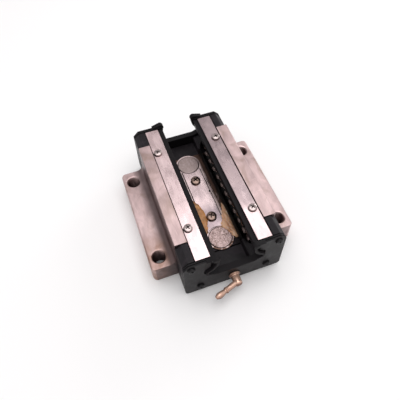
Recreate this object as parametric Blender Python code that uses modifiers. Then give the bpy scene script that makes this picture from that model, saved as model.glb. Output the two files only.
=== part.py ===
"""Flanged linear guide carriage for a 35 mm rail, lying on its mounting face.

Z = 0 is the mounting face and the rail channel opens upwards. Y runs along the rail, from the end
with the grease nipple (negative) to the far end. Lengths below are in millimetres and become metres
when a mesh is made.
"""
import math

import bmesh
import bpy
from mathutils import Matrix, Vector

MM = 0.001
LEFT, RIGHT = -1, 1
NEAR, FAR = -1, 1
SIDE_NAMES = {LEFT: "left", RIGHT: "right"}
END_NAMES = {NEAR: "near", FAR: "far"}
SEAT_GAP = 0.3

# Carriage block
BLOCK_HALF_LENGTH = 39.5
FLANGE_HALF_WIDTH = 48.0
FLANGE_HEIGHT = 15.0
FLANGE_CORNER_RADIUS = 3.0
FLANGE_FILLET = 5.0
EDGE_CHAMFER = 0.9
BODY_HALF_WIDTH = 32.0
BLOCK_HEIGHT = 37.5
BOLT_X = 41.0
BOLT_Y = 31.0
BOLT_HOLE_RADIUS = 4.25
BOLT_SINK_RADIUS = 5.2
CUT_MARGIN = 1.0

# Rail channel in the block
CHANNEL_FLOOR = 14.0
STRIP_SEAT_Z = 35.8
STRIP_SEAT_X = 24.3
LIP_SEAT_Z = 34.4
LIP_SEAT_X = 18.9
LEG_INNER_X = 16.2
RETAINER_SLOT_X = 20.3
RETAINER_SLOT_HALF_HEIGHT = 3.2
RETAINER_SLOT_MOUTH_X = 18.75
STRIP_SCREW_HOLE_RADIUS = 1.55
STRIP_SCREW_HOLE_DEPTH = 4.8
PLATE_SCREW_HOLE_RADIUS = 1.75
PLATE_SCREW_HOLE_DEPTH = 6.0

# Ball circuits
BALL_RADIUS = 3.175
BALL_PITCH = 7.55
BALLS_PER_ROW = 10
ROW_X = 15.8
ROW_HEIGHTS = {"floor": 17.2, "mouth": 27.8}
RACEWAY_RADIUS = 3.35
RETURN_X = 26.3
RETURN_BORE_RADIUS = 3.4
BELT_THICKNESS = 0.9
BELT_WIDTH = 2.0
TURN_BALL_ANGLE = math.radians(51)
TURN_POCKET_RADIUS = 8.7
TURN_POCKET_HALF_HEIGHT = 3.45
GUIDE_RADIUS = 1.8
GUIDE_LOW_Z = 12.9
GUIDE_HIGH_Z = 32.1

# End caps, end seals and their screws
CAP_INNER_Y = BLOCK_HALF_LENGTH + SEAT_GAP
CAP_OUTER_Y = 52.6
CAP_LOW_Z = 1.2
CAP_HIGH_Z = 37.2
CAP_CHAMFER = 3.5
CAP_CORNER_RADIUS = 2.5
SEAL_INNER_Y = CAP_OUTER_Y + SEAT_GAP
SEAL_THICKNESS = 1.1
COVER_INNER_Y = SEAL_INNER_Y + SEAL_THICKNESS + SEAT_GAP
COVER_THICKNESS = 1.0
FACE_Y = COVER_INNER_Y + COVER_THICKNESS
LIP_OUTER_Y = 57.0
HORN_X = 12.4
HORN_Z = 36.8
HORN_RADIUS = 2.3
END_SCREW_PLACES = ((27.2, 33.4), (22.0, 7.5))
END_SCREW_RADIUS = 1.25
END_SCREW_DEPTH = 6.5
END_SCREW_HEAD = (2.4, 1.5)

# Openings of the end pieces, as (x, z) points of the right side
CAP_MOUTH_X = 11.9
CAP_MOUTH_LOW_Z = 31.6
CAP_RAIL_HEAD = ((14.2, 27.6), (17.8, 24.6), (17.8, 22.2), (13.2, 19.6), (10.8, 19.6))
CAP_FLOOR_Z = 13.6
SEAL_EDGE = ((10.4, CAP_HIGH_Z), (11.2, 31.6), (13.4, 27.8), (17.1, 24.9), (17.1, 23.4), (11.6, 21.0),
             (0, 21.0))
RIM_OUTSIDE = ((12.2, CAP_HIGH_Z), (12.8, 32.2), (14.7, 29.0), (18.7, 25.7), (18.7, 22.5), (11.9, 19.4),
               (0, 19.4))
COVER_OPENING = ((15.3, CAP_HIGH_Z), (15.3, 29.6), (19.5, 26.1), (19.5, 22.2), (12.6, 18.4), (0, 18.4))

# Ball retainers, as (x, z) points of the right side
RETAINER_HALF_LENGTH = BLOCK_HALF_LENGTH - 0.4
RETAINERS = {
    "floor": ((10.9, 14.3), (13.0, 14.3), (12.2, 15.8), (12.1, 17.2), (12.4, 18.5), (11.7, 18.9),
              (10.9, 17.6)),
    "middle": ((17.7, 20.4), (18.6, 19.6), (20.0, 19.6), (20.0, 25.4), (18.6, 25.4), (17.7, 24.6)),
    "mouth": ((15.9, 31.6), (15.9, 34.1), (12.6, 34.1), (11.9, 32.6), (13.0, 31.0), (13.4, 30.4),
              (14.2, 31.2)),
}

# Bottom-seal strips
STRIP_INNER_X = 14.8
STRIP_OUTER_X = 23.9
STRIP_HALF_LENGTH = 52.4
STRIP_BOTTOM_Z = STRIP_SEAT_Z + SEAT_GAP
STRIP_THICKNESS = 0.8
STRIP_SCREW_X = 20.7
STRIP_SCREW_Y = 31.0
STRIP_HOLE_RADIUS = 1.75
STRIP_SCREW_HEAD = (2.85, 1.7)
STRIP_SCREW_SHANK = (1.25, 5.0)
SEAL_LIP = ((18.6, 34.75), (18.6, STRIP_SEAT_Z), (14.5, STRIP_SEAT_Z), (11.6, 36.5), (11.4, 36.1),
            (13.9, 34.75))

# Inner-seal plate and floor plugs
PLATE_BOTTOM_Z = CHANNEL_FLOOR + SEAT_GAP
PLATE_HALF_WIDTH = 8.8
PLATE_THICKNESS = 0.5
COVER_STRIP_HALF_WIDTH = 6.4
COVER_STRIP_TOP_Z = 15.4
PLUG_Y = 31.8
PLUG_RADIUS = 7.65
PLUG_TOP_Z = 15.2
PLUG_BORE_DEPTH = 1.4
PLATE_SCREW_Y = 15.7
PLATE_HOLE_RADIUS = 1.75
PLATE_SCREW_HEAD = (3.4, 2.1)
PLATE_SCREW_SHANK = (1.4, 6.0)
PLUG_CHAMFER = 0.35
COVER_STRIP_NOTCH_RADIUS = PLUG_RADIUS + 0.6

# Grease nipple and lubrication port
PORT_Z = 8.0
PORT_RADIUS = 3.0
PORT_DEPTH = 9.0
PORT_PASSAGE_RADIUS = 1.2
PORT_SCREW_LENGTH = 5.0
PORT_SCREW_CHAMFER = 0.4
PORT_SOCKET_RADIUS = 1.7
PORT_SOCKET_DEPTH = 2.5
NIPPLE_THREAD_RADIUS = 2.7
NIPPLE_TIP_CLEARANCE = 1.6
NIPPLE_COLLAR_RADIUS = 3.7
NIPPLE_BODY_RADIUS = 2.7
NIPPLE_ROUNDING = 1.1
NIPPLE_COLLAR_HEIGHT = 0.9
NIPPLE_COLLAR_TAPER = 0.5
NIPPLE_BASE_Y = FACE_Y + SEAT_GAP
NIPPLE_ARM_Y = 61.0
NIPPLE_END_Y = 63.7
ARM_RADIUS = 1.8
ARM_NECK_RADIUS = 1.5
ARM_HEAD_RADIUS = 2.05
ARM_TIP_RADIUS = 1.2
ARM_TIP_TAPER = 1.9
ARM_HEAD_LENGTH = 1.5
ARM_LENGTH = 17.5
ARM_START = 0.4
ARM_LEAN = math.radians(20)
ARM_RISE = math.radians(6)
ARM_ROTATION = Matrix.Rotation(ARM_RISE, 4, "Y") @ Matrix.Rotation(ARM_LEAN, 4, "Z")
ARM_NECK_START = 9.9
ARM_NECK_END = 10.7
ARM_NECK_CHAMFER = 0.3
GREASE_PASSAGE_RADIUS = 0.8
ARM_PASSAGE_RADIUS = 0.6
ARM_PASSAGE_START = -0.3
VALVE_BORE_RADIUS = 1.15
VALVE_BORE_START = 7.7
VALVE_BORE_END = 15.8
NIPPLE_MOUTH_RADIUS = 0.6
CHECK_BALL_RADIUS = 0.85
CHECK_BALL_PLACE = 14.85
SPRING_COIL_RADIUS = 0.68
SPRING_WIRE_RADIUS = 0.14
SPRING_START = 8.2
SPRING_END = 13.5
SPRING_TURNS = 4.5


def new_collection(name):
    """Return a collection of that name, empty and linked to the scene."""
    old = bpy.data.collections.get(name)
    if old:
        bpy.data.collections.remove(old)
    collection = bpy.data.collections.new(name)
    bpy.context.scene.collection.children.link(collection)
    return collection


def new_material(name, colour, roughness, metallic):
    """Return a Principled material."""
    material = bpy.data.materials.new(name)
    material.use_nodes = True
    shader = material.node_tree.nodes["Principled BSDF"]
    shader.inputs["Base Color"].default_value = (*colour, 1.0)
    shader.inputs["Roughness"].default_value = roughness
    shader.inputs["Metallic"].default_value = metallic
    material.diffuse_color = (*colour, 1.0)
    return material


def new_object(name, mesh, collection, material=None):
    """Link an object made from a mesh, shaded smooth up to 35 degrees."""
    obj = bpy.data.objects.new(name, mesh)
    collection.objects.link(obj)
    if material and not mesh.materials:
        mesh.materials.append(material)
    mesh.shade_smooth()
    mesh.set_sharp_from_angle(angle=math.radians(35))
    return obj


def arc(centre, radius, start, end, steps):
    """Points of an arc from one angle to another, in degrees."""
    points = []
    for step in range(steps + 1):
        angle = math.radians(start + (end - start) * step / steps)
        points.append((centre[0] + radius * math.cos(angle), centre[1] + radius * math.sin(angle)))
    return points


def circle(centre, radius, steps=24):
    """Points of a full circle."""
    return arc(centre, radius, 0, 360, steps)[:-1]


def both_sides(right_half):
    """Close an outline from its right half, which runs between two points of the centre plane."""
    left_half = [(-x, z) for x, z in reversed(right_half) if x > 0]
    return right_half + left_half


def mirrored(outline, side):
    """Mirror an outline for the left side."""
    return [(side * x, z) for x, z in outline]


def flat_mesh(name, outline, thickness, holes=()):
    """Mesh of a flat outline with holes, centred on its own plane."""
    curve = bpy.data.curves.new(name, "CURVE")
    curve.dimensions = "2D"
    curve.fill_mode = "BOTH"
    curve.extrude = thickness / 2
    for loop in (outline, *holes):
        spline = curve.splines.new("POLY")
        spline.points.add(len(loop) - 1)
        spline.use_cyclic_u = True
        for point, (x, y) in zip(spline.points, loop):
            point.co = (x, y, 0, 1)
    source = bpy.data.objects.new(name, curve)
    bpy.context.scene.collection.objects.link(source)
    evaluated = source.evaluated_get(bpy.context.evaluated_depsgraph_get())
    mesh = bpy.data.meshes.new_from_object(evaluated)
    bpy.data.objects.remove(source, do_unlink=True)
    bpy.data.curves.remove(curve)
    mesh.name = name
    shape = bmesh.new()
    shape.from_mesh(mesh)
    bmesh.ops.remove_doubles(shape, verts=shape.verts, dist=0.001)
    bmesh.ops.dissolve_limit(shape, angle_limit=math.radians(0.5), verts=shape.verts, edges=shape.edges)
    bmesh.ops.recalc_face_normals(shape, faces=shape.faces)
    shape.to_mesh(mesh)
    shape.free()
    mesh.transform(Matrix.Scale(MM, 4))
    return mesh


def section_solid(name, outline, low_y, high_y, collection, material=None, holes=()):
    """Solid with an outline across the rail (x, z), running along the rail."""
    mesh = flat_mesh(name, outline, high_y - low_y, holes)
    obj = new_object(name, mesh, collection, material)
    obj.rotation_euler = (math.pi / 2, 0, 0)
    obj.location = (0, (low_y + high_y) / 2 * MM, 0)
    return obj


def plan_solid(name, outline, low_z, high_z, collection, material=None, holes=()):
    """Solid with an outline seen from above (x, y)."""
    mesh = flat_mesh(name, outline, high_z - low_z, holes)
    obj = new_object(name, mesh, collection, material)
    obj.location = (0, 0, (low_z + high_z) / 2 * MM)
    return obj


def end_span(end, inner, outer):
    """Low and high Y of a piece that lies between two distances from the middle."""
    return (inner, outer) if end == FAR else (-outer, -inner)


def axis_turn(axis):
    """Rotation that lays a Z cylinder along an axis."""
    turns = {"X": Matrix.Rotation(math.pi / 2, 4, "Y"), "Y": Matrix.Rotation(-math.pi / 2, 4, "X")}
    return turns.get(axis, Matrix.Identity(4))


def rod_mesh(name, rods, axis, segments=24):
    """Mesh of straight rods along one axis: (centre, start radius, end radius, length) each."""
    shape = bmesh.new()
    for centre, start_radius, end_radius, length in rods:
        place = Matrix.Translation(Vector(centre) * MM) @ axis_turn(axis)
        bmesh.ops.create_cone(shape, cap_ends=True, segments=segments, radius1=start_radius * MM,
                              radius2=end_radius * MM, depth=length * MM, matrix=place)
    mesh = bpy.data.meshes.new(name)
    shape.to_mesh(mesh)
    shape.free()
    return mesh


def drill(name, rods, axis, segments=24):
    """Cutter made of straight rods."""
    return new_object(name, rod_mesh(name, rods, axis, segments), CUTTERS)


def combine(obj, other, operation="DIFFERENCE"):
    """Cut another object out of this one, or join it on."""
    modifier = obj.modifiers.new(other.name, "BOOLEAN")
    modifier.operation = operation
    modifier.solver = "EXACT"
    modifier.object = other
    other.hide_render = True
    other.display_type = "WIRE"


def applied_mesh(obj, name):
    """Mesh of an object with its modifiers applied; the object and its cutters are removed."""
    evaluated = obj.evaluated_get(bpy.context.evaluated_depsgraph_get())
    mesh = bpy.data.meshes.new_from_object(evaluated)
    mesh.name = name
    tools = [modifier.object for modifier in obj.modifiers if modifier.type == "BOOLEAN"]
    for used in (*tools, obj):
        bpy.data.objects.remove(used, do_unlink=True)
    return mesh


def turned_mesh(name, profile, steps=20):
    """Mesh of a profile (radius, height) turned about Z; both its ends are on the axis."""
    mesh = bpy.data.meshes.new(name)
    points = [(radius * MM, 0, height * MM) for radius, height in profile]
    mesh.from_pydata(points, [(i, i + 1) for i in range(len(points) - 1)], [])
    obj = bpy.data.objects.new(name, mesh)
    bpy.context.scene.collection.objects.link(obj)
    screw = obj.modifiers.new("turn", "SCREW")
    screw.axis = "Z"
    screw.steps = steps
    screw.render_steps = steps
    screw.use_merge_vertices = True
    screw.merge_threshold = 0.00001
    return applied_mesh(obj, name)


def block_outline():
    """Outline of the block across the rail, with its flanges, legs and raceways."""
    floor_row = (ROW_X, ROW_HEIGHTS["floor"])
    mouth_row = (ROW_X, ROW_HEIGHTS["mouth"])
    slot_angle = math.degrees(math.acos((RETAINER_SLOT_MOUTH_X - ROW_X) / RACEWAY_RADIUS))
    floor_angle = math.degrees(math.asin((CHANNEL_FLOOR - floor_row[1]) / RACEWAY_RADIUS))
    leg_angle = math.degrees(math.acos((LEG_INNER_X - ROW_X) / RACEWAY_RADIUS))
    slot_middle = (floor_row[1] + mouth_row[1]) / 2
    slot_low = slot_middle - RETAINER_SLOT_HALF_HEIGHT
    slot_high = slot_middle + RETAINER_SLOT_HALF_HEIGHT
    half = [(0, 0), (FLANGE_HALF_WIDTH - EDGE_CHAMFER, 0), (FLANGE_HALF_WIDTH, EDGE_CHAMFER)]
    half += [(FLANGE_HALF_WIDTH, FLANGE_HEIGHT - EDGE_CHAMFER)]
    half += [(FLANGE_HALF_WIDTH - EDGE_CHAMFER, FLANGE_HEIGHT)]
    half += arc((BODY_HALF_WIDTH + FLANGE_FILLET, FLANGE_HEIGHT + FLANGE_FILLET), FLANGE_FILLET, 270, 180, 6)
    half += [(BODY_HALF_WIDTH, BLOCK_HEIGHT - EDGE_CHAMFER), (BODY_HALF_WIDTH - EDGE_CHAMFER, BLOCK_HEIGHT)]
    half += [(STRIP_SEAT_X, BLOCK_HEIGHT), (STRIP_SEAT_X, STRIP_SEAT_Z), (LIP_SEAT_X, STRIP_SEAT_Z)]
    half += [(LIP_SEAT_X, LIP_SEAT_Z), (LEG_INNER_X, LIP_SEAT_Z)]
    half += arc(mouth_row, RACEWAY_RADIUS, leg_angle, -slot_angle, 9)
    half += [(RETAINER_SLOT_MOUTH_X, slot_high), (RETAINER_SLOT_X, slot_high)]
    half += [(RETAINER_SLOT_X, slot_low), (RETAINER_SLOT_MOUTH_X, slot_low)]
    half += arc(floor_row, RACEWAY_RADIUS, slot_angle, -180 - floor_angle, 11)
    half += [(0, CHANNEL_FLOOR)]
    return both_sides(half)


def flange_corner_cutters():
    """Cutter that rounds the flanges' four upright corners."""
    inner_x = FLANGE_HALF_WIDTH - FLANGE_CORNER_RADIUS
    inner_y = BLOCK_HALF_LENGTH - FLANGE_CORNER_RADIUS
    outer_x = FLANGE_HALF_WIDTH + CUT_MARGIN
    outer_y = BLOCK_HALF_LENGTH + CUT_MARGIN
    corner = [(outer_x, inner_y), (outer_x, outer_y), (inner_x, outer_y)]
    corner += arc((inner_x, inner_y), FLANGE_CORNER_RADIUS, 90, 0, 5)
    cutters = []
    for side in (LEFT, RIGHT):
        for end in (NEAR, FAR):
            outline = [(side * x, end * y) for x, y in corner]
            name = f"flange_corner_{SIDE_NAMES[side]}_{END_NAMES[end]}"
            cutters.append(plan_solid(name, outline, -CUT_MARGIN, FLANGE_HEIGHT + CUT_MARGIN, CUTTERS))
    return cutters


def build_block(material):
    """Steel block: flanges, legs, raceways, return bores and tapped holes."""
    returns = [circle((side * RETURN_X, z), RETURN_BORE_RADIUS) for side in (LEFT, RIGHT)
               for z in ROW_HEIGHTS.values()]
    block = section_solid("carriage_block", block_outline(), -BLOCK_HALF_LENGTH, BLOCK_HALF_LENGTH,
                          PARTS, material, returns)
    for cutter in flange_corner_cutters():
        combine(block, cutter)
    corners = [(x, y) for x in (-BOLT_X, BOLT_X) for y in (-BOLT_Y, BOLT_Y)]
    length = FLANGE_HEIGHT + 4 * CUT_MARGIN
    through = [((x, y, FLANGE_HEIGHT / 2), BOLT_HOLE_RADIUS, BOLT_HOLE_RADIUS, length) for x, y in corners]
    combine(block, drill("bolt_holes", through, "Z", 24))
    inner = BOLT_HOLE_RADIUS - CUT_MARGIN
    outer = BOLT_SINK_RADIUS + CUT_MARGIN
    top_sinks = [((x, y, FLANGE_HEIGHT), inner, outer, outer - inner) for x, y in corners]
    bottom_sinks = [((x, y, 0), outer, inner, outer - inner) for x, y in corners]
    combine(block, drill("bolt_sinks", top_sinks + bottom_sinks, "Z", 24))
    ends = [((side * x, end * BLOCK_HALF_LENGTH, z), END_SCREW_RADIUS + SEAT_GAP,
             END_SCREW_RADIUS + SEAT_GAP, 2 * END_SCREW_DEPTH)
            for side in (LEFT, RIGHT) for end in (NEAR, FAR) for x, z in END_SCREW_PLACES]
    combine(block, drill("end_screw_holes", ends, "Y", 12))
    strip = [((x, y, STRIP_SEAT_Z), STRIP_SCREW_HOLE_RADIUS, STRIP_SCREW_HOLE_RADIUS,
              2 * STRIP_SCREW_HOLE_DEPTH) for x in (-STRIP_SCREW_X, STRIP_SCREW_X)
             for y in (-STRIP_SCREW_Y, STRIP_SCREW_Y)]
    plate = [((0, y, CHANNEL_FLOOR), PLATE_SCREW_HOLE_RADIUS, PLATE_SCREW_HOLE_RADIUS,
              2 * PLATE_SCREW_HOLE_DEPTH) for y in (-PLATE_SCREW_Y, PLATE_SCREW_Y)]
    plugs = [((0, y, CHANNEL_FLOOR), PLUG_RADIUS + SEAT_GAP, PLUG_RADIUS + SEAT_GAP, 2 * PLUG_BORE_DEPTH)
             for y in (-PLUG_Y, PLUG_Y)]
    combine(block, drill("seal_screw_holes", strip + plate, "Z", 12))
    combine(block, drill("plug_bores", plugs, "Z", 28))


def end_outline(channel):
    """Outline shared by the caps, seals and covers, around a channel given from mouth to floor."""
    corner = CAP_CORNER_RADIUS
    half = [(0, CAP_LOW_Z)]
    half += arc((BODY_HALF_WIDTH - corner, CAP_LOW_Z + corner), corner, 270, 360, 5)
    half += [(BODY_HALF_WIDTH, CAP_HIGH_Z - CAP_CHAMFER), (BODY_HALF_WIDTH - CAP_CHAMFER, CAP_HIGH_Z)]
    return both_sides(half + channel)


def cap_channel():
    """Channel of an end cap: seats for the strip and its lip, then room for the rail head."""
    seats = [(STRIP_SEAT_X, CAP_HIGH_Z), (STRIP_SEAT_X, STRIP_SEAT_Z), (LIP_SEAT_X, STRIP_SEAT_Z)]
    seats += [(LIP_SEAT_X, LIP_SEAT_Z), (CAP_MOUTH_X, LIP_SEAT_Z), (CAP_MOUTH_X, CAP_MOUTH_LOW_Z)]
    floor = [(CAP_RAIL_HEAD[-1][0], CAP_FLOOR_Z), (0, CAP_FLOOR_Z)]
    return seats + list(CAP_RAIL_HEAD) + floor


def rim_outline():
    """Outline of the raised rim around the seal's edge."""
    return both_sides([*reversed(SEAL_EDGE), *RIM_OUTSIDE])


def end_screw_bores(end, clearance):
    """Rods for the four end screws' clearance holes."""
    middle = end * (CAP_INNER_Y + FACE_Y) / 2
    length = FACE_Y - CAP_INNER_Y + 4 * CUT_MARGIN
    radius = END_SCREW_RADIUS + clearance
    return [((side * x, middle, z), radius, radius, length)
            for side in (LEFT, RIGHT) for x, z in END_SCREW_PLACES]


def build_end(end, materials):
    """End cap, seal and cover of one end, with their holes."""
    name = END_NAMES[end]
    low, high = end_span(end, CAP_INNER_Y, CAP_OUTER_Y)
    cap = section_solid(f"end_cap_{name}", end_outline(cap_channel()), low, high, PARTS,
                        materials["plastic"])
    turn_x = (ROW_X + RETURN_X) / 2
    pockets = [((side * turn_x, end * BLOCK_HALF_LENGTH, z), TURN_POCKET_RADIUS, TURN_POCKET_RADIUS,
                2 * TURN_POCKET_HALF_HEIGHT) for side in (LEFT, RIGHT) for z in ROW_HEIGHTS.values()]
    combine(cap, drill(f"turn_pockets_{name}", pockets, "Z", 24))
    guide_middle = (GUIDE_LOW_Z + GUIDE_HIGH_Z) / 2
    guide_length = GUIDE_HIGH_Z - GUIDE_LOW_Z + 2 * SEAT_GAP
    slots = [((side * turn_x, end * BLOCK_HALF_LENGTH, guide_middle), GUIDE_RADIUS + SEAT_GAP,
              GUIDE_RADIUS + SEAT_GAP, guide_length) for side in (LEFT, RIGHT)]
    combine(cap, drill(f"guide_slots_{name}", slots, "Z", 16))
    screw_bores = drill(f"screw_bores_{name}", end_screw_bores(end, SEAT_GAP), "Y", 12)
    port_middle = end * (FACE_Y + CUT_MARGIN - PORT_DEPTH / 2)
    port = drill(f"port_{name}", [((0, port_middle, PORT_Z), PORT_RADIUS, PORT_RADIUS, PORT_DEPTH)], "Y", 20)
    passage_length = CAP_OUTER_Y - CAP_INNER_Y + 2 * CUT_MARGIN
    passage_middle = end * (CAP_OUTER_Y + CAP_INNER_Y) / 2
    passage = drill(f"passage_{name}", [((0, passage_middle, PORT_Z), PORT_PASSAGE_RADIUS,
                                         PORT_PASSAGE_RADIUS, passage_length)], "Y", 12)
    low, high = end_span(end, SEAL_INNER_Y, SEAL_INNER_Y + SEAL_THICKNESS)
    seal = section_solid(f"end_seal_{name}", end_outline(list(SEAL_EDGE)), low, high, PARTS,
                         materials["rubber"])
    low, high = end_span(end, SEAL_INNER_Y + SEAL_THICKNESS / 2, LIP_OUTER_Y)
    rim = section_solid(f"seal_rim_{name}", rim_outline(), low, high, CUTTERS)
    combine(seal, rim, "UNION")
    for side in (LEFT, RIGHT):
        horn_rod = [((side * HORN_X, (low + high) / 2, HORN_Z), HORN_RADIUS, HORN_RADIUS, high - low - 0.2)]
        combine(seal, drill(f"seal_horn_{SIDE_NAMES[side]}_{name}", horn_rod, "Y", 16), "UNION")
    low, high = end_span(end, COVER_INNER_Y, FACE_Y)
    cover = section_solid(f"end_cover_{name}", end_outline(list(COVER_OPENING)), low, high, PARTS,
                          materials["black_steel"])
    for piece in (cap, seal, cover):
        combine(piece, screw_bores)
        combine(piece, port)
    combine(cap, passage)


def build_return_guide(side, end, material):
    """Half-round guide that the balls of both circuits turn around."""
    turn_x = (ROW_X + RETURN_X) / 2
    angles = (0, 180) if end == FAR else (180, 360)
    outline = arc((side * turn_x, end * CAP_INNER_Y), GUIDE_RADIUS, *angles, 8)
    name = f"return_guide_{END_NAMES[end]}_{SIDE_NAMES[side]}"
    plan_solid(name, outline, GUIDE_LOW_Z, GUIDE_HIGH_Z, PARTS, material)


def ball_mesh(name, centres, belt_axis, belt_length):
    """One mesh of balls held together by the resin belt that runs through them."""
    shape = bmesh.new()
    for centre in centres:
        place = Matrix.Translation(Vector(centre) * MM) @ axis_turn(belt_axis)
        bmesh.ops.create_uvsphere(shape, u_segments=8, v_segments=5, radius=BALL_RADIUS * MM, matrix=place)
    mesh = bpy.data.meshes.new(name)
    shape.to_mesh(mesh)
    shape.free()
    balls = bpy.data.objects.new(name, mesh)
    CUTTERS.objects.link(balls)
    shape = bmesh.new()
    belt_size = Vector((BELT_THICKNESS, BELT_THICKNESS, BELT_WIDTH))
    belt_size["XY".index(belt_axis)] = belt_length
    bmesh.ops.create_cube(shape, size=MM, matrix=Matrix.Diagonal((*belt_size, 1)))
    belt_mesh = bpy.data.meshes.new(f"{name}_belt")
    shape.to_mesh(belt_mesh)
    shape.free()
    belt = bpy.data.objects.new(f"{name}_belt", belt_mesh)
    CUTTERS.objects.link(belt)
    combine(balls, belt, "UNION")
    return applied_mesh(balls, name)


def build_ball_circuits(material):
    """Loaded rows, return rows and the balls in the turns, each with its belt."""
    row_length = (BALLS_PER_ROW - 1) * BALL_PITCH
    row_centres = [(0, i * BALL_PITCH - row_length / 2, 0) for i in range(BALLS_PER_ROW)]
    row_mesh = ball_mesh("ball_row", row_centres, "Y", row_length + BALL_RADIUS)
    turn_radius = (RETURN_X - ROW_X) / 2
    turn_x = turn_radius * math.cos(TURN_BALL_ANGLE)
    turn_y = turn_radius * math.sin(TURN_BALL_ANGLE)
    turn_centres = [(-turn_x, 0, 0), (turn_x, 0, 0)]
    turn_mesh = ball_mesh("turn_balls", turn_centres, "X", 2 * turn_x)
    for side in (LEFT, RIGHT):
        for row, height in ROW_HEIGHTS.items():
            suffix = f"{SIDE_NAMES[side]}_{row}"
            loaded = new_object(f"loaded_row_{suffix}", row_mesh, PARTS, material)
            loaded.location = Vector((side * ROW_X, 0, height)) * MM
            returning = new_object(f"return_row_{suffix}", row_mesh, PARTS, material)
            returning.location = Vector((side * RETURN_X, 0, height)) * MM
            for end in (NEAR, FAR):
                turn = new_object(f"turn_balls_{suffix}_{END_NAMES[end]}", turn_mesh, PARTS, material)
                middle = (side * (ROW_X + RETURN_X) / 2, end * (BLOCK_HALF_LENGTH + turn_y), height)
                turn.location = Vector(middle) * MM


def build_retainers(side, material):
    """Three bars that keep one side's balls in the block when it is off the rail."""
    for place, outline in RETAINERS.items():
        name = f"retainer_{place}_{SIDE_NAMES[side]}"
        section_solid(name, mirrored(outline, side), -RETAINER_HALF_LENGTH, RETAINER_HALF_LENGTH, PARTS,
                      material)


def build_bottom_seal(side, materials):
    """Steel strip over a rubber lip, along one side of the channel's mouth."""
    name = SIDE_NAMES[side]
    strip = [(STRIP_INNER_X, -STRIP_HALF_LENGTH), (STRIP_OUTER_X, -STRIP_HALF_LENGTH),
             (STRIP_OUTER_X, STRIP_HALF_LENGTH), (STRIP_INNER_X, STRIP_HALF_LENGTH)]
    holes = [circle((side * STRIP_SCREW_X, y), STRIP_HOLE_RADIUS, 16)
             for y in (-STRIP_SCREW_Y, STRIP_SCREW_Y)]
    plan_solid(f"bottom_seal_strip_{name}", mirrored(strip, side), STRIP_BOTTOM_Z,
               STRIP_BOTTOM_Z + STRIP_THICKNESS, PARTS, materials["strip_steel"], holes)
    section_solid(f"bottom_seal_lip_{name}", mirrored(SEAL_LIP, side), -STRIP_HALF_LENGTH, STRIP_HALF_LENGTH,
                  PARTS, materials["rubber"])


def build_inner_plate(materials):
    """Inner-seal plate on the channel floor and the round plug in each of its ends."""
    base = arc((0, PLUG_Y), PLATE_HALF_WIDTH, 0, 180, 14)
    base += arc((0, -PLUG_Y), PLATE_HALF_WIDTH, 180, 360, 14)
    plug_holes = [circle((0, y), PLUG_RADIUS + SEAT_GAP, 28) for y in (-PLUG_Y, PLUG_Y)]
    plate = plan_solid("inner_seal_plate", base, PLATE_BOTTOM_Z, PLATE_BOTTOM_Z + PLATE_THICKNESS, PARTS,
                       materials["plate_steel"], plug_holes)
    notch = math.degrees(math.acos(COVER_STRIP_HALF_WIDTH / COVER_STRIP_NOTCH_RADIUS))
    cover = arc((0, PLUG_Y), COVER_STRIP_NOTCH_RADIUS, 360 - notch, 180 + notch, 10)
    cover += arc((0, -PLUG_Y), COVER_STRIP_NOTCH_RADIUS, 180 - notch, notch, 10)
    raised = plan_solid("inner_seal_cover_strip", cover, PLATE_BOTTOM_Z + PLATE_THICKNESS / 2,
                        COVER_STRIP_TOP_Z, CUTTERS)
    combine(plate, raised, "UNION")
    screws = [((0, y, CHANNEL_FLOOR), PLATE_HOLE_RADIUS, PLATE_HOLE_RADIUS, 8 * CUT_MARGIN)
              for y in (-PLATE_SCREW_Y, PLATE_SCREW_Y)]
    combine(plate, drill("plate_screw_holes", screws, "Z", 16))
    low = CHANNEL_FLOOR - PLUG_BORE_DEPTH + SEAT_GAP
    profile = [(0, PLUG_TOP_Z), (PLUG_RADIUS - PLUG_CHAMFER, PLUG_TOP_Z)]
    profile += [(PLUG_RADIUS, PLUG_TOP_Z - PLUG_CHAMFER), (PLUG_RADIUS, low), (0, low)]
    plug_mesh = turned_mesh("floor_plug", profile, 28)
    for end in (NEAR, FAR):
        plug = new_object(f"floor_plug_{END_NAMES[end]}", plug_mesh, PARTS, materials["plug_steel"])
        plug.location = (0, end * PLUG_Y * MM, 0)


def screw_mesh(name, head, shank):
    """Pan-head screw with a cross recess, from the radius and length of its head and of its shank.

    The head rests on Z = 0 and the shank points down.
    """
    head_radius, head_height = head
    shank_radius, shank_length = shank
    crown = head_height * 0.45
    profile = [(0, head_height), (head_radius * 0.62, head_height - crown * 0.25)]
    profile += [(head_radius * 0.9, head_height - crown), (head_radius, head_height - crown * 1.9)]
    profile += [(head_radius, 0), (shank_radius, 0), (shank_radius, -shank_length + 0.6)]
    profile += [(shank_radius - 0.5, -shank_length), (0, -shank_length)]
    screw = bpy.data.objects.new(name, turned_mesh(name, profile, 12))
    CUTTERS.objects.link(screw)
    arm = head_radius * 0.56
    web = head_radius * 0.15
    tip = web * 0.8
    cross = [(arm, tip), (web, web), (tip, arm), (-tip, arm), (-web, web), (-arm, tip)]
    cross += [(-x, -y) for x, y in cross]
    recess = plan_solid(f"{name}_recess", cross, head_height * 0.4, head_height + CUT_MARGIN, CUTTERS)
    combine(screw, recess)
    return applied_mesh(screw, name)


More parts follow.
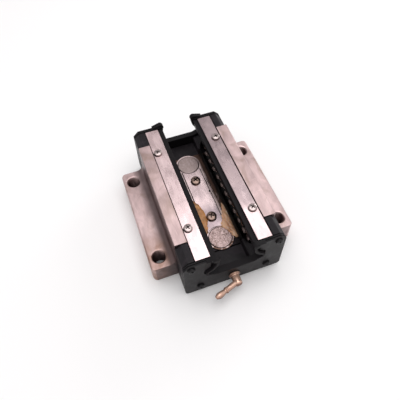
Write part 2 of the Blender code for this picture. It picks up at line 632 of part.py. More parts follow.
def build_screws(materials):
    """Bottom-seal, inner-plate and end screws."""
    strip_mesh = screw_mesh("bottom_seal_screw", STRIP_SCREW_HEAD, STRIP_SCREW_SHANK)
    plate_mesh = screw_mesh("inner_plate_screw", PLATE_SCREW_HEAD, PLATE_SCREW_SHANK)
    end_shank = (END_SCREW_RADIUS, FACE_Y - BLOCK_HALF_LENGTH + END_SCREW_DEPTH)
    end_mesh = screw_mesh("end_screw", END_SCREW_HEAD, end_shank)
    head_seat = STRIP_BOTTOM_Z + STRIP_THICKNESS + SEAT_GAP
    steel = materials["screw_steel"]
    for end in (NEAR, FAR):
        plate_screw = new_object(f"inner_plate_screw_{END_NAMES[end]}", plate_mesh, PARTS, steel)
        plate_screw.location = Vector((0, end * PLATE_SCREW_Y, COVER_STRIP_TOP_Z + SEAT_GAP)) * MM
        for side in (LEFT, RIGHT):
            suffix = f"{SIDE_NAMES[side]}_{END_NAMES[end]}"
            strip_screw = new_object(f"bottom_seal_screw_{suffix}", strip_mesh, PARTS, steel)
            strip_screw.location = Vector((side * STRIP_SCREW_X, end * STRIP_SCREW_Y, head_seat)) * MM
            for level, (x, z) in zip(("top", "low"), END_SCREW_PLACES):
                screw = new_object(f"end_screw_{suffix}_{level}", end_mesh, PARTS, materials["black_steel"])
                screw.location = Vector((side * x, end * (FACE_Y + SEAT_GAP), z)) * MM
                screw.rotation_euler = (-end * math.pi / 2, 0, 0)


def build_port_screw(material):
    """Set screw that closes the far end's lubrication port."""
    radius = PORT_RADIUS - SEAT_GAP
    end_radius = radius - PORT_SCREW_CHAMFER
    profile = [(0, 0), (end_radius, 0), (radius, -PORT_SCREW_CHAMFER)]
    profile += [(radius, PORT_SCREW_CHAMFER - PORT_SCREW_LENGTH), (end_radius, -PORT_SCREW_LENGTH)]
    profile += [(0, -PORT_SCREW_LENGTH)]
    body = bpy.data.objects.new("port_screw", turned_mesh("port_screw", profile, 20))
    CUTTERS.objects.link(body)
    socket = [((0, 0, 0), PORT_SOCKET_RADIUS, PORT_SOCKET_RADIUS, 2 * PORT_SOCKET_DEPTH)]
    combine(body, drill("port_screw_socket", socket, "Z", 6))
    mesh = applied_mesh(body, "port_screw")
    screw = new_object("port_screw_far", mesh, PARTS, material)
    screw.location = Vector((0, CAP_OUTER_Y, PORT_Z)) * MM
    screw.rotation_euler = (-math.pi / 2, 0, 0)


def nipple_body_profile():
    """Turned profile of the nipple's threaded body, from its free end to its tip inside the cap."""
    flat_radius = NIPPLE_BODY_RADIUS - NIPPLE_ROUNDING
    collar_top = NIPPLE_BASE_Y + NIPPLE_COLLAR_HEIGHT
    thread_tip = FACE_Y - PORT_DEPTH + NIPPLE_TIP_CLEARANCE
    profile = [(0, NIPPLE_END_Y), (flat_radius, NIPPLE_END_Y)]
    profile += [(NIPPLE_BODY_RADIUS, NIPPLE_END_Y - NIPPLE_ROUNDING)]
    profile += [(NIPPLE_BODY_RADIUS, collar_top + NIPPLE_COLLAR_TAPER), (NIPPLE_COLLAR_RADIUS, collar_top)]
    profile += [(NIPPLE_COLLAR_RADIUS, NIPPLE_BASE_Y), (NIPPLE_THREAD_RADIUS, NIPPLE_BASE_Y)]
    profile += [(NIPPLE_THREAD_RADIUS, thread_tip), (0, thread_tip)]
    return profile


def nipple_arm_profile():
    """Turned profile of the nipple's arm, from its mouth back into the body."""
    head_end = ARM_LENGTH - ARM_TIP_TAPER
    profile = [(0, ARM_LENGTH), (ARM_TIP_RADIUS, ARM_LENGTH), (ARM_HEAD_RADIUS, head_end)]
    profile += [(ARM_HEAD_RADIUS, head_end - ARM_HEAD_LENGTH), (ARM_NECK_RADIUS, ARM_NECK_END)]
    profile += [(ARM_NECK_RADIUS, ARM_NECK_START), (ARM_RADIUS, ARM_NECK_START - ARM_NECK_CHAMFER)]
    profile += [(ARM_RADIUS, ARM_START), (0, ARM_START)]
    return profile


def place_on_arm(obj):
    """Put an object made along -X from the origin on the nipple's arm."""
    obj.location = Vector((0, -NIPPLE_ARM_Y, PORT_Z)) * MM
    obj.rotation_euler = ARM_ROTATION.to_euler()
    return obj


def arm_drill(name, start, end, radius, segments):
    """Cutter along the nipple's arm between two distances from the body's axis."""
    rods = [((-(start + end) / 2, 0, 0), radius, radius, end - start)]
    return place_on_arm(drill(name, rods, "X", segments))


def build_nipple(materials):
    """Elbow grease nipple with its grease passage, check ball and spring."""
    body = new_object("grease_nipple", turned_mesh("grease_nipple", nipple_body_profile(), 20), PARTS,
                      materials["brass"])
    body.location = (0, 0, PORT_Z * MM)
    body.rotation_euler = (math.pi / 2, 0, 0)
    arm = new_object("nipple_arm", turned_mesh("nipple_arm", nipple_arm_profile(), 20), CUTTERS)
    arm.location = Vector((0, -NIPPLE_ARM_Y, PORT_Z)) * MM
    arm.rotation_euler = (ARM_ROTATION @ Matrix.Rotation(-math.pi / 2, 4, "Y")).to_euler()
    combine(body, arm, "UNION")
    passage_start = FACE_Y - PORT_DEPTH
    entry = [((0, -(passage_start + NIPPLE_ARM_Y) / 2, PORT_Z), GREASE_PASSAGE_RADIUS,
              GREASE_PASSAGE_RADIUS, NIPPLE_ARM_Y - passage_start)]
    combine(body, drill("nipple_entry", entry, "Y", 12))
    combine(body, arm_drill("nipple_passage", ARM_PASSAGE_START, VALVE_BORE_START + CUT_MARGIN,
                            ARM_PASSAGE_RADIUS, 12))
    combine(body, arm_drill("nipple_valve_bore", VALVE_BORE_START, VALVE_BORE_END, VALVE_BORE_RADIUS, 16))
    combine(body, arm_drill("nipple_mouth", VALVE_BORE_END - CUT_MARGIN, ARM_LENGTH + CUT_MARGIN,
                            NIPPLE_MOUTH_RADIUS, 12))
    shape = bmesh.new()
    bmesh.ops.create_uvsphere(shape, u_segments=12, v_segments=8, radius=CHECK_BALL_RADIUS * MM)
    mesh = bpy.data.meshes.new("nipple_check_ball")
    shape.to_mesh(mesh)
    shape.free()
    ball = new_object("nipple_check_ball", mesh, PARTS, materials["ball_steel"])
    from_body = ARM_ROTATION @ Vector((-CHECK_BALL_PLACE, 0, 0))
    ball.location = (Vector((0, -NIPPLE_ARM_Y, PORT_Z)) + from_body) * MM
    ball.rotation_euler = ARM_ROTATION.to_euler()
    build_nipple_spring(materials["ball_steel"])


def build_nipple_spring(material):
    """Coil spring behind the check ball."""
    steps_per_turn = 8
    count = round(SPRING_TURNS * steps_per_turn)
    curve = bpy.data.curves.new("nipple_spring", "CURVE")
    curve.dimensions = "3D"
    curve.bevel_depth = SPRING_WIRE_RADIUS * MM
    curve.bevel_resolution = 1
    curve.use_fill_caps = True
    spline = curve.splines.new("POLY")
    spline.points.add(count)
    for i, point in enumerate(spline.points):
        angle = 2 * math.pi * i / steps_per_turn
        along = SPRING_START + (SPRING_END - SPRING_START) * i / count
        across = SPRING_COIL_RADIUS * math.cos(angle)
        up = SPRING_COIL_RADIUS * math.sin(angle)
        point.co = (-along * MM, across * MM, up * MM, 1)
    curve.materials.append(material)
    spring = bpy.data.objects.new("nipple_spring", curve)
    PARTS.objects.link(spring)
    place_on_arm(spring)


def build_materials():
    """Materials of the sub-parts."""
    return {
        "block_steel": new_material("block_steel", (0.52, 0.46, 0.46), 0.42, 1.0),
        "strip_steel": new_material("strip_steel", (0.66, 0.60, 0.60), 0.32, 1.0),
        "plate_steel": new_material("plate_steel", (0.55, 0.50, 0.50), 0.35, 1.0),
        "plug_steel": new_material("plug_steel", (0.48, 0.43, 0.43), 0.45, 1.0),
        "screw_steel": new_material("screw_steel", (0.60, 0.56, 0.55), 0.28, 1.0),
        "black_steel": new_material("black_steel", (0.030, 0.028, 0.030), 0.45, 0.6),
        "plastic": new_material("cap_plastic", (0.022, 0.020, 0.023), 0.38, 0.0),
        "retainer_plastic": new_material("retainer_plastic", (0.020, 0.018, 0.018), 0.45, 0.0),
        "rubber": new_material("seal_rubber", (0.018, 0.017, 0.018), 0.65, 0.0),
        "ball_steel": new_material("ball_steel", (0.70, 0.68, 0.66), 0.12, 1.0),
        "brass": new_material("nipple_brass", (0.72, 0.46, 0.26), 0.30, 1.0),
    }


for existing in list(bpy.data.objects):
    bpy.data.objects.remove(existing, do_unlink=True)
PARTS = new_collection("linear_guide_carriage")
CUTTERS = new_collection("cutters")
MATERIALS = build_materials()

build_block(MATERIALS["block_steel"])
for end_sign in (NEAR, FAR):
    build_end(end_sign, MATERIALS)
    for side_sign in (LEFT, RIGHT):
        build_return_guide(side_sign, end_sign, MATERIALS["retainer_plastic"])
for side_sign in (LEFT, RIGHT):
    build_retainers(side_sign, MATERIALS["retainer_plastic"])
    build_bottom_seal(side_sign, MATERIALS)
build_ball_circuits(MATERIALS["ball_steel"])
build_inner_plate(MATERIALS)
build_screws(MATERIALS)
build_port_screw(MATERIALS["black_steel"])
build_nipple(MATERIALS)
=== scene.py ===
"""Linear guide carriage in ground steel, black plastic and brass, lying with its rail channel upwards.

Pieces are drawn in millimetres in the frame's own axes: Y along the rail, Z up from the mounting face.
"""
import math

import bmesh
import bpy
from mathutils import Matrix, Vector


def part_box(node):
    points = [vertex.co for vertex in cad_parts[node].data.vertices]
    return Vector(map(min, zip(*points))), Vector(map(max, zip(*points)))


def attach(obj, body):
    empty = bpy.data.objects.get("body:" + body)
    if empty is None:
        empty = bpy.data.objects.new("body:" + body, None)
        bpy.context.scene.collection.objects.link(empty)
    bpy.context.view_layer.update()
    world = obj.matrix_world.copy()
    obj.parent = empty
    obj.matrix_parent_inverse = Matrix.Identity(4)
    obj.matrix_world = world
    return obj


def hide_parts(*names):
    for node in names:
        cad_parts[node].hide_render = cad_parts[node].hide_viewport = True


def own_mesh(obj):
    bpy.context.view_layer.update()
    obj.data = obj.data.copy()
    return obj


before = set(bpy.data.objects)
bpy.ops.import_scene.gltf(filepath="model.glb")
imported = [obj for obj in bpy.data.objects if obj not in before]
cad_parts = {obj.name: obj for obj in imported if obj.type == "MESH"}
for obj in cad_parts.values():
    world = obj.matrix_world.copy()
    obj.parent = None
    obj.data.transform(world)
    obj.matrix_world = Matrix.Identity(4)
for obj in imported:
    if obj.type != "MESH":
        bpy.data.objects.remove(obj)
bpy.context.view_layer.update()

MM = 0.001
LEFT, RIGHT = -1, 1
NEAR, FAR = -1, 1
SIDES = {"left": LEFT, "right": RIGHT}
ENDS = {"near": NEAR, "far": FAR}
SCENE = bpy.context.scene


def node_span(node, axis):
    """Lowest and highest coordinate of a CAD node along an axis, in millimetres."""
    low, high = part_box(node)
    index = "XYZ".index(axis)
    return low[index] / MM, high[index] / MM


# Block and channel
BLOCK_LENGTH = node_span("carriage_block", "Y")
FLANGE_X = node_span("carriage_block", "X")[1]
BLOCK_TOP = node_span("carriage_block", "Z")[1]
FLANGE_TOP = 15.0
FLANGE_FILLET = 5.0
FLANGE_CORNER = 3.0
CHAMFER = 0.9
TOP_CHAMFER = 0.4
BODY_X = 32.0
BOLT_PLACES = ((-41, -31), (-41, 31), (41, -31), (41, 31))
BOLT_RADIUS = 4.1
BOLT_SINK = 5.3
SINK_DEPTH = 0.75
THREAD_RADIUS = 4.95
THREAD_PITCH = 1.5
BOLT_STEPS = 40
RETURN_BORE = 3.4
CHANNEL_FLOOR = 14.0
STRIP_SEAT = (24.3, 35.8)
LIP_SEAT = (18.9, 34.4)
LEG_X = 16.2
SLOT_X = 20.3
SLOT_MOUTH_X = 18.75
SLOT_Z = (19.3, 25.7)
RACEWAY_RADIUS = 3.35

# Balls
BALL_RADIUS = 3.175
BALL_PITCH = 7.55
BALL_COUNT = 10
ROW_X = 15.8
RETURN_X = 26.3
TURN_X = (ROW_X + RETURN_X) / 2
TURN_ANGLE = math.radians(51)
TURN_CORE = (0.7, 2.9)  # radius, and distance of its ends from the balls' centres
CAGE_REACH = 3.3
CAGE_ANGLE = math.radians(45)
ROWS = {"floor": 17.2, "mouth": 27.8}

# End pieces
CAP_LOW, CAP_HIGH = 1.2, 37.2
CAP_CHAMFER = 3.5
CAP_CORNER = 2.5
CAP_Y = (39.8, 52.6)
SEAL_Y = (52.9, 54.0)
RIM_Y = (53.4, 57.0)
COVER_Y = (54.3, 55.3)
CAP_RAIL_HEAD = ((11.9, 34.4), (11.9, 31.6), (14.2, 27.6), (17.8, 24.6), (17.8, 22.2), (13.2, 19.6),
                 (10.8, 19.6), (10.8, 13.6), (0, 13.6))
SEAL_EDGE = ((10.4, 37.2), (11.2, 31.6), (13.4, 27.8), (17.1, 24.9), (17.1, 23.4), (11.6, 21.0), (0, 21.0))
RIM_OUTSIDE = ((12.2, 37.2), (12.8, 32.2), (14.7, 29.0), (18.7, 25.7), (18.7, 22.5), (11.9, 19.4), (0, 19.4))
COVER_OPENING = ((15.3, 37.2), (15.3, 29.6), (19.5, 26.1), (19.5, 22.2), (12.6, 18.4), (0, 18.4))
HORN_PLACE = (12.4, 36.8)  # x and z
HORN = ((0, 53.5), (2.3, 53.5), (2.3, 56.2), (2.1, 56.65), (1.6, 56.9), (0, 56.95))  # radius and y
HORN_RAMP = ((12.4, 39.0), (14.3, 38.75), (16.0, 38.2), (18.4, 37.5), (15.1, 37.4), (15.1, 35.6),
             (12.4, 35.6))
RAMP_Y = (53.5, 56.4)
TURN_POCKET = (8.7, 3.45)  # radius and half height
SEAM_Y = (46.05, 46.35)
SEAM_X = (31.85, 33)
SEAM_Z = (4.5, 32.5)
END_SCREWS = {"top": (27.2, 33.4), "low": (22.0, 7.5)}
BORE_Y = (38, 58)
PORT_Z = 8.0
PORT_Y = (47.3, 58)
PORT_RADIUS = 3.0

# Strips, plate and plugs
STRIP_X = (14.8, 23.8)
STRIP_Y = 52.4
STRIP_Z = (36.1, 36.9)
STRIP_SCREW = (20.7, 31.0)
STRIP_HOLE_Z = (31.0, 36.5)
LIP = ((18.6, 34.75), (18.6, 35.8), (14.5, 35.8), (11.6, 36.5), (11.4, 36.1), (13.9, 34.75))
PLATE_X = 8.8
PLATE_Z = (14.3, 14.8)
COVER_STRIP_X = 6.4
COVER_STRIP_TOP = 15.4
COVER_NOTCH = 8.25
COVER_NICK = (0.85, 4.5)  # radius and y
RUBBER_TOP = 15.1
PLUG_Y = 31.8
PLUG_RADIUS = 7.65
PLUG_Z = (12.9, 15.2)
PLUG_SEAT = PLUG_RADIUS + 0.25
PLUG_SEAT_Z = (12.6, 14.5)
PLATE_SCREW_Y = 15.7
PLATE_HOLE_Z = (8.0, 14.5)
RETAINERS = {
    "floor": ((10.9, 14.3), (13.0, 14.3), (12.2, 15.8), (12.1, 17.2), (12.4, 18.5), (11.7, 18.9),
              (10.9, 17.6)),
    "middle": ((17.7, 20.4), (18.6, 19.6), (20.0, 19.6), (20.0, 25.4), (18.6, 25.4), (17.7, 24.6)),
    "mouth": ((15.9, 31.6), (15.9, 34.1), (12.6, 34.1), (11.9, 32.6), (13.0, 31.0), (13.4, 30.4),
              (14.2, 31.2)),
}
RETAINER_Y = 39.1

# Screws: radius and height of a head, radius and length of a shank
STRIP_HEAD = (2.7, 1.7)
STRIP_SHANK = (1.25, 5.0)
PLATE_HEAD = (3.4, 2.1)
PLATE_SHANK = (1.4, 6.0)
END_HEAD = (2.4, 1.5)
END_SHANK = (1.25, 22.3)
SCREW_HOLE = 1.75
THREAD_HOLE = 1.55
SEAT_GAP = 0.05

# Nipple: its nose is (radius, depth), its collar (radius, rise), its arm (radius, distance from the elbow)
NIPPLE_BASE = 55.6
NIPPLE_END = 63.7
NIPPLE_NOSE = ((0, 0), (0.9, 0.02), (1.6, 0.16), (2.15, 0.45), (2.5, 0.85), (2.66, 1.3), (2.7, 1.9))
NIPPLE_COLLAR = ((2.7, 1.75), (2.75, 1.5), (2.95, 1.2), (3.35, 1.0), (3.62, 0.86), (3.72, 0.68), (3.72, 0.2),
                 (3.58, 0))
STEM_RADIUS = 2.65
STEM_GROOVE = 2.3
STEM_END = 48.0
ARM_Y = 61.0
ARM_PLACE = (Matrix.Translation(Vector((0, -ARM_Y, PORT_Z)) * MM) @ Matrix.Rotation(math.radians(6), 4, "Y")
             @ Matrix.Rotation(math.radians(20), 4, "Z") @ Matrix.Rotation(-math.pi / 2, 4, "Y"))
NIPPLE_ARM = ((0, 17.5), (0.85, 17.5), (1.08, 17.4), (1.45, 16.8), (1.85, 15.95), (2.0, 15.5), (2.05, 15.0),
              (2.04, 14.3), (1.95, 13.4), (1.78, 12.2), (1.6, 11.2), (1.5, 10.7), (1.5, 10.1), (1.62, 9.9),
              (2.0, 9.75), (2.06, 9.55), (2.06, 9.0), (2.0, 8.8), (1.82, 8.65), (1.8, 8.4), (1.8, 0.5),
              (0, 0.4))
ARM_PASSAGES = ((0.6, -0.3, 8.7, 0.6), (1.15, 7.7, 15.8, 1.15), (0.6, 15.2, 17.0, 0.6),
                (0.6, 16.95, 17.7, 0.85))  # radius, start, end and radius at the end
SPRING_SPAN = (8.2, 13.5)
SPRING_RADIUS = 0.68
SPRING_WIRE = 0.14
SPRING_TURNS = 4.5

# Grease beside the plate: (y, low x, high x)
GREASE_LEFT = ((0.5, -7.9, -6.9), (-5, -8.3, -4.4), (-11, -8.6, -3.2), (-17, -8.4, -3.3), (-22, -8.2, -5.0),
               (-27, -8.6, -6.4))
GREASE_RIGHT = ((-7, 9.6, 10.6), (-11, 8.8, 11.4), (-15, 7.4, 12.0), (-19, 5.6, 12.3), (-24, 2.8, 12.4),
                (-29, 6.0, 12.5), (-33, 7.6, 12.2), (-35.5, 9.0, 11.6))

# Camera angles are azimuth, elevation and roll in degrees; lamps are (name, place and size in metres, watts)
CAMERA_PLACE = (-51.35, -147.89, 243.05)
CAMERA_ANGLES = (-18.29, 55.69, 1.90)
CAMERA_LENS = 36.43
LAMPS = (("overhead", (0.06, 0.02, 0.90), 0.90, 4.2), ("fill", (-0.9, -0.5, 0.5), 0.6, 0.8),
         ("side", (0.8, 0.5, 0.35), 0.4, 2.0))
FLOOR_SIZE = 1.6
FLOOR_DROP = 0.2

# An edge sharper than the first angle is rounded, and one sharper than the second is shaded as an edge
ROUND_ANGLE = math.radians(35)
SHARP_ANGLE = math.radians(38)


# ---- outlines and meshes

def arc(centre, radius, start, end, steps):
    """Points of an arc from one angle to another, in degrees."""
    points = []
    for step in range(steps + 1):
        angle = math.radians(start + (end - start) * step / steps)
        points.append((centre[0] + radius * math.cos(angle), centre[1] + radius * math.sin(angle)))
    return points


def circle(centre, radius, steps):
    """Points of a circle."""
    return arc(centre, radius, 0, 360 - 360 / steps, steps - 1)


def rectangle(across, up):
    """Corners of a rectangle, from its lowest and highest values each way."""
    return [(across[0], up[0]), (across[1], up[0]), (across[1], up[1]), (across[0], up[1])]


def both_sides(right_half):
    """Close an outline from its right half, which runs between two points of the centre plane."""
    return list(right_half) + [(-u, v) for u, v in reversed(right_half) if u > 0]


def mirrored(outline, side):
    """Mirror an outline for the left side."""
    return [(side * u, v) for u, v in outline]


def span(end, low, high):
    """Low and high Y of a piece of one end."""
    return (low, high) if end == FAR else (-high, -low)


def finished(shape, name):
    """Mesh from a bmesh, with its faces turned outwards."""
    bmesh.ops.recalc_face_normals(shape, faces=shape.faces)
    mesh = bpy.data.meshes.new(name)
    shape.to_mesh(mesh)
    shape.free()
    return mesh


def skin(shape, rings):
    """Cap the first and the last ring of vertices and join each ring to the next."""
    shape.faces.new(rings[0])
    shape.faces.new(rings[-1][::-1])
    for lower, upper in zip(rings, rings[1:]):
        for i, vertex in enumerate(lower):
            j = (i + 1) % len(lower)
            shape.faces.new((vertex, lower[j], upper[j], upper[i]))


def prism(name, outline, low, high, axis="Y"):
    """Mesh of an outline drawn out along an axis: (x, z) points along Y, (x, y) points along Z."""
    shape = bmesh.new()
    rings = []
    for level in (low, high):
        points = [(u, level, v) if axis == "Y" else (u, v, level) for u, v in outline]
        rings.append([shape.verts.new(Vector(point) * MM) for point in points])
    skin(shape, rings)
    return finished(shape, name)


def turned(name, profile, steps, place=Matrix.Identity(4)):
    """Mesh of a profile (radius, height) turned about Z, with both ends on the axis."""
    shape = bmesh.new()
    rings = []
    for radius, height in profile:
        if radius < 1e-6:
            rings.append([shape.verts.new((0, 0, height * MM))] * steps)
        else:
            rings.append([shape.verts.new((radius * MM * math.cos(2 * math.pi * i / steps),
                                           radius * MM * math.sin(2 * math.pi * i / steps), height * MM))
                          for i in range(steps)])
    for lower, upper in zip(rings, rings[1:]):
        for i in range(steps):
            j = (i + 1) % steps
            corners = list(dict.fromkeys((lower[i], lower[j], upper[j], upper[i])))
            if len(corners) > 2:
                shape.faces.new(corners)
    shape.transform(place)
    return finished(shape, name)


def along(axis, place=(0, 0, 0)):
    """Matrix that lays a Z shape along an axis (X, Y, -Y or Z) at a place in millimetres."""
    turns = {"X": (math.pi / 2, "Y"), "Y": (-math.pi / 2, "X"), "-Y": (math.pi / 2, "X"), "Z": (0.0, "X")}
    angle, about = turns[axis]
    return Matrix.Translation(Vector(place) * MM) @ Matrix.Rotation(angle, 4, about)


def rod(radius, low, high, axis="Z", place=(0, 0, 0), end_radius=None, steps=32):
    """Mesh of a straight or tapered rod along an axis, from low to high."""
    end = radius if end_radius is None else end_radius
    profile = [(0, low), (radius, low), (end, high), (0, high)]
    return turned("rod", profile, steps, along(axis, place))


def hole_pair(radius, low, high, x, y, steps=32):
    """Tools for two upright holes, one towards each end."""
    return [rod(radius, low, high, "Z", (x, end * y, 0), steps=steps) for end in (NEAR, FAR)]


def grooves(radius, groove_radius, top, bottom, drop, pitch):
    """Profile points of the thread grooves between two heights of a shank."""
    points = []
    while top > bottom:
        points += [(radius, top), (groove_radius, top - drop)]
        top -= pitch
    return points


def joined(name, meshes):
    """One mesh of several."""
    shape = bmesh.new()
    for mesh in meshes:
        shape.from_mesh(mesh)
    return finished(shape, name)


def added(name, data):
    """New object in the scene."""
    obj = bpy.data.objects.new(name, data)
    SCENE.collection.objects.link(obj)
    return obj


def settled(obj, name):
    """Mesh of an object with its modifiers applied; the object is removed."""
    evaluated = obj.evaluated_get(bpy.context.evaluated_depsgraph_get())
    mesh = bpy.data.meshes.new_from_object(evaluated)
    mesh.name = name
    bpy.data.objects.remove(obj, do_unlink=True)
    return mesh


def carved(mesh, tools, operation="DIFFERENCE"):
    """Mesh after cutting the tools out of it or joining them on."""
    obj = added("work", mesh)
    tool_objects = [added("tool", tool) for tool in tools]
    for tool in tool_objects:
        modifier = obj.modifiers.new("carve", "BOOLEAN")
        modifier.operation = operation
        modifier.solver = "EXACT"
        modifier.object = tool
    result = settled(obj, mesh.name)
    for tool in tool_objects:
        bpy.data.objects.remove(tool, do_unlink=True)
    return result


def rounded(mesh, width, segments=2):
    """Mesh with its sharp edges rounded."""
    obj = added("work", mesh)
    modifier = obj.modifiers.new("round", "BEVEL")
    modifier.width = width * MM
    modifier.segments = segments
    modifier.limit_method = "ANGLE"
    modifier.angle_limit = ROUND_ANGLE
    return settled(obj, mesh.name)


def piece(name, mesh, slot, material, stands_for=(), body="carriage", place=(0, 0, 0), turn=(0, 0, 0)):
    """Finished piece: shaded, painted, riding on its body, in place of its CAD nodes."""
    obj = added(name, mesh)
    if not mesh.materials:
        mesh.materials.append(material)
    mesh.shade_smooth()
    mesh.set_sharp_from_angle(angle=SHARP_ANGLE)
    normals = obj.modifiers.new("normals", "WEIGHTED_NORMAL")
    normals.keep_sharp = True
    obj.location = Vector(place) * MM
    obj.rotation_euler = turn
    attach(obj, body)
    if stands_for:
        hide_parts(*stands_for)
    return obj


def stand_in(node, mesh, slot, material, **options):
    """Finished piece that stands for one CAD node."""
    return piece(f"{node}_detail", mesh, slot, material, [node], **options)


def dress(node, material):
    """Give a CAD node that is shown as it is a better material."""
    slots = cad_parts[node].data.materials
    slots.clear()
    slots.append(material)


# ---- materials

class Paint:
    """A Principled material and the nodes that drive it."""

    def __init__(self, name, **constants):
        self.material = bpy.data.materials.new(name)
        self.material.use_nodes = True
        self.tree = self.material.node_tree
        self.shader = self.tree.nodes["Principled BSDF"]
        for socket, value in constants.items():
            self.shader.inputs[socket.replace("_", " ")].default_value = value

    def node(self, kind, inputs=(), **settings):
        """New node with its settings, and an output or a plain value for each given input."""
        made = self.tree.nodes.new(f"ShaderNode{kind}")
        for key, value in settings.items():
            setattr(made, key, value)
        for socket, source in dict(inputs).items():
            self.link(source, made.inputs[socket])
        return made

    def link(self, source, socket):
        """Link an output, or set a plain value."""
        if isinstance(source, bpy.types.NodeSocket):
            self.tree.links.new(source, socket)
        else:
            socket.default_value = source

    def spots(self, size, stretch=(1, 1, 1), detail=4.0, warp=0.0):
        """Noise with features of a size in millimetres, drawn out by stretch along each axis."""
        place = self.node("TexCoord").outputs["Object"]
        drawn_out = self.node("Mapping", {"Vector": place, "Scale": [1.0 / value for value in stretch]})
        noise = self.node("TexNoise", {"Vector": drawn_out.outputs["Vector"], "Scale": 1.0 / (size * MM),
                                       "Detail": detail, "Distortion": warp})
        return noise.outputs["Fac"]

    def place(self, axis, folded=False):
        """Object coordinate along an axis in millimetres, or its distance from the centre plane."""
        parts = self.node("SeparateXYZ", {0: self.node("TexCoord").outputs["Object"]})
        value = self.product(parts.outputs[axis], 1 / MM)
        return self.combined(value, 0.0, "ABSOLUTE") if folded else value

    def ranged(self, value, low, high, new_low, new_high):
        """Value carried from one range to another, clamped."""
        made = self.node("MapRange", {"Value": value, "From Min": low, "From Max": high, "To Min": new_low,
                                      "To Max": new_high})
        return made.outputs["Result"]

    def mixed(self, factor, first, second, blend="MIX"):
        """Two colours mixed."""
        made = self.node("Mix", {"Factor": factor}, data_type="RGBA", blend_type=blend)
        for socket, colour in ((6, first), (7, second)):
            self.link((*colour, 1.0) if isinstance(colour, tuple) else colour, made.inputs[socket])
        return made.outputs[2]

    def rising(self, axis, low, high, folded=False):
        """0 below one coordinate in millimetres and 1 above another."""
        return self.ranged(self.place(axis, folded), low, high, 0.0, 1.0)

    def falling(self, axis, low, high, folded=False):
        """1 below one coordinate in millimetres and 0 above another."""
        return self.ranged(self.place(axis, folded), low, high, 1.0, 0.0)

    def combined(self, first, second, operation="ADD"):
        """Two values added, or combined another way."""
        return self.node("Math", {0: first, 1: second}, operation=operation).outputs[0]

    def product(self, first, *others):
        """Values multiplied."""
        for other in others:
            first = self.combined(first, other, "MULTIPLY")
        return first

    def distance(self, across, along_it):
        """Distance from two offsets at right angles."""
        squares = self.combined(self.combined(across, 2.0, "POWER"), self.combined(along_it, 2.0, "POWER"))
        return self.combined(squares, 0.5, "POWER")

    def colour(self, source):
        """Set the base colour."""
        self.link(source, self.shader.inputs["Base Color"])

    def roughness(self, source):
        """Set the roughness."""
        self.link(source, self.shader.inputs["Roughness"])

    def relief(self, height, depth, strength):
        """Bump of a depth in millimetres."""
        made = self.node("Bump", {"Height": height, "Distance": depth * MM, "Strength": strength})
        self.link(made.outputs["Normal"], self.shader.inputs["Normal"])


def scratches(paint, size, stretch, share):
    """Thin bright lines: noise drawn out along one axis, of which only the peaks show."""
    return paint.ranged(paint.spots(size, stretch, detail=2.0), 1.0 - share, 1.0 - share + 0.04, 0.0, 1.0)


# A shade says how strongly a film of oil or dirt shows at a point, from 0 to 1; several of them lay painted
# shade instead.

def bore_shade(paint):
    """How deep a point lies in the bolt holes and their threads; deeper points are made darker."""
    hole_x, hole_y = BOLT_PLACES[-1]
    radius = paint.distance(paint.combined(paint.place("X", True), hole_x, "SUBTRACT"),
                            paint.combined(paint.place("Y", True), hole_y, "SUBTRACT"))
    inside = paint.ranged(radius, THREAD_RADIUS, THREAD_RADIUS + 0.25, 1.0, 0.0)
    return paint.product(inside, paint.falling("Z", FLANGE_TOP - 3.5, FLANGE_TOP - 0.6))


def floor_area(paint):
    """Channel floor between the plate and the retainers."""
    return paint.product(paint.falling("Z", CHANNEL_FLOOR + 0.2, CHANNEL_FLOOR + 0.6),
                         paint.falling("X", LEG_X - 1.0, LEG_X, True),
                         paint.rising("Z", CHANNEL_FLOOR - 1.6, CHANNEL_FLOOR - 1.2))


def floor_shade(paint):
    """Where old oil darkens the channel floor."""
    patches = paint.ranged(paint.spots(5.0, (1, 2, 1), detail=4.0, warp=0.8), 0.62, 0.70, 1.0, 0.35)
    return paint.product(floor_area(paint), patches)


def floor_end_shade(paint):
    """Where the channel floor turns near-black towards its near end."""
    return paint.product(floor_area(paint), paint.falling("Y", -32.0, -27.0))


def end_painted_shade(paint):
    """Painted shade on the end faces of the block, in patches."""
    patches = paint.ranged(paint.spots(7.0, detail=4.0, warp=0.5), 0.35, 0.65, 0.45, 0.75)
    return paint.product(paint.rising("Y", BLOCK_LENGTH[1] - 0.12, BLOCK_LENGTH[1] - 0.04, True), patches)


def side_painted_shade(paint):
    """Painted shade on the upright sides of the block and the fillets below them."""
    patches = paint.ranged(paint.spots(12.0, (1, 1.6, 1), detail=6.0, warp=0.6), 0.3, 0.7, 0.72, 0.88)
    return paint.product(paint.rising("X", BODY_X - 0.12, BODY_X - 0.02, True),
                         paint.falling("X", BODY_X + 3.0, BODY_X + 8.0, True), patches)


def seat_shade(paint):
    """Where old oil fills the narrow gap beside the seal strips."""
    return paint.product(paint.falling("X", STRIP_SEAT[0] + 0.02, STRIP_SEAT[0] + 0.10, True),
                         paint.falling("Z", BLOCK_TOP - 0.25, BLOCK_TOP - 0.10),
                         paint.rising("Z", STRIP_SEAT[1] - 0.4, STRIP_SEAT[1] - 0.2))


def cover_painted_shade(paint):
    """Painted shade, in patches, on the near end of the cover strip."""
    film_and_shade = paint.ranged(paint.spots(4.0, detail=3.0, warp=0.6), 0.35, 0.65, 0.85, 1.0)
    return paint.product(paint.falling("Y", -11.0, -3.5), film_and_shade)


def flange_painted_shade(paint):
    """Painted brown shade on the near end of the left flange."""
    patches = paint.ranged(paint.spots(8.0, (1, 1.5, 1), detail=5.0, warp=0.8), 0.35, 0.60, 0.45, 1.0)
    left = paint.falling("X", -BODY_X - 4.0, -BODY_X)
    return paint.product(left, paint.falling("Y", -24.0, -12.0), patches)


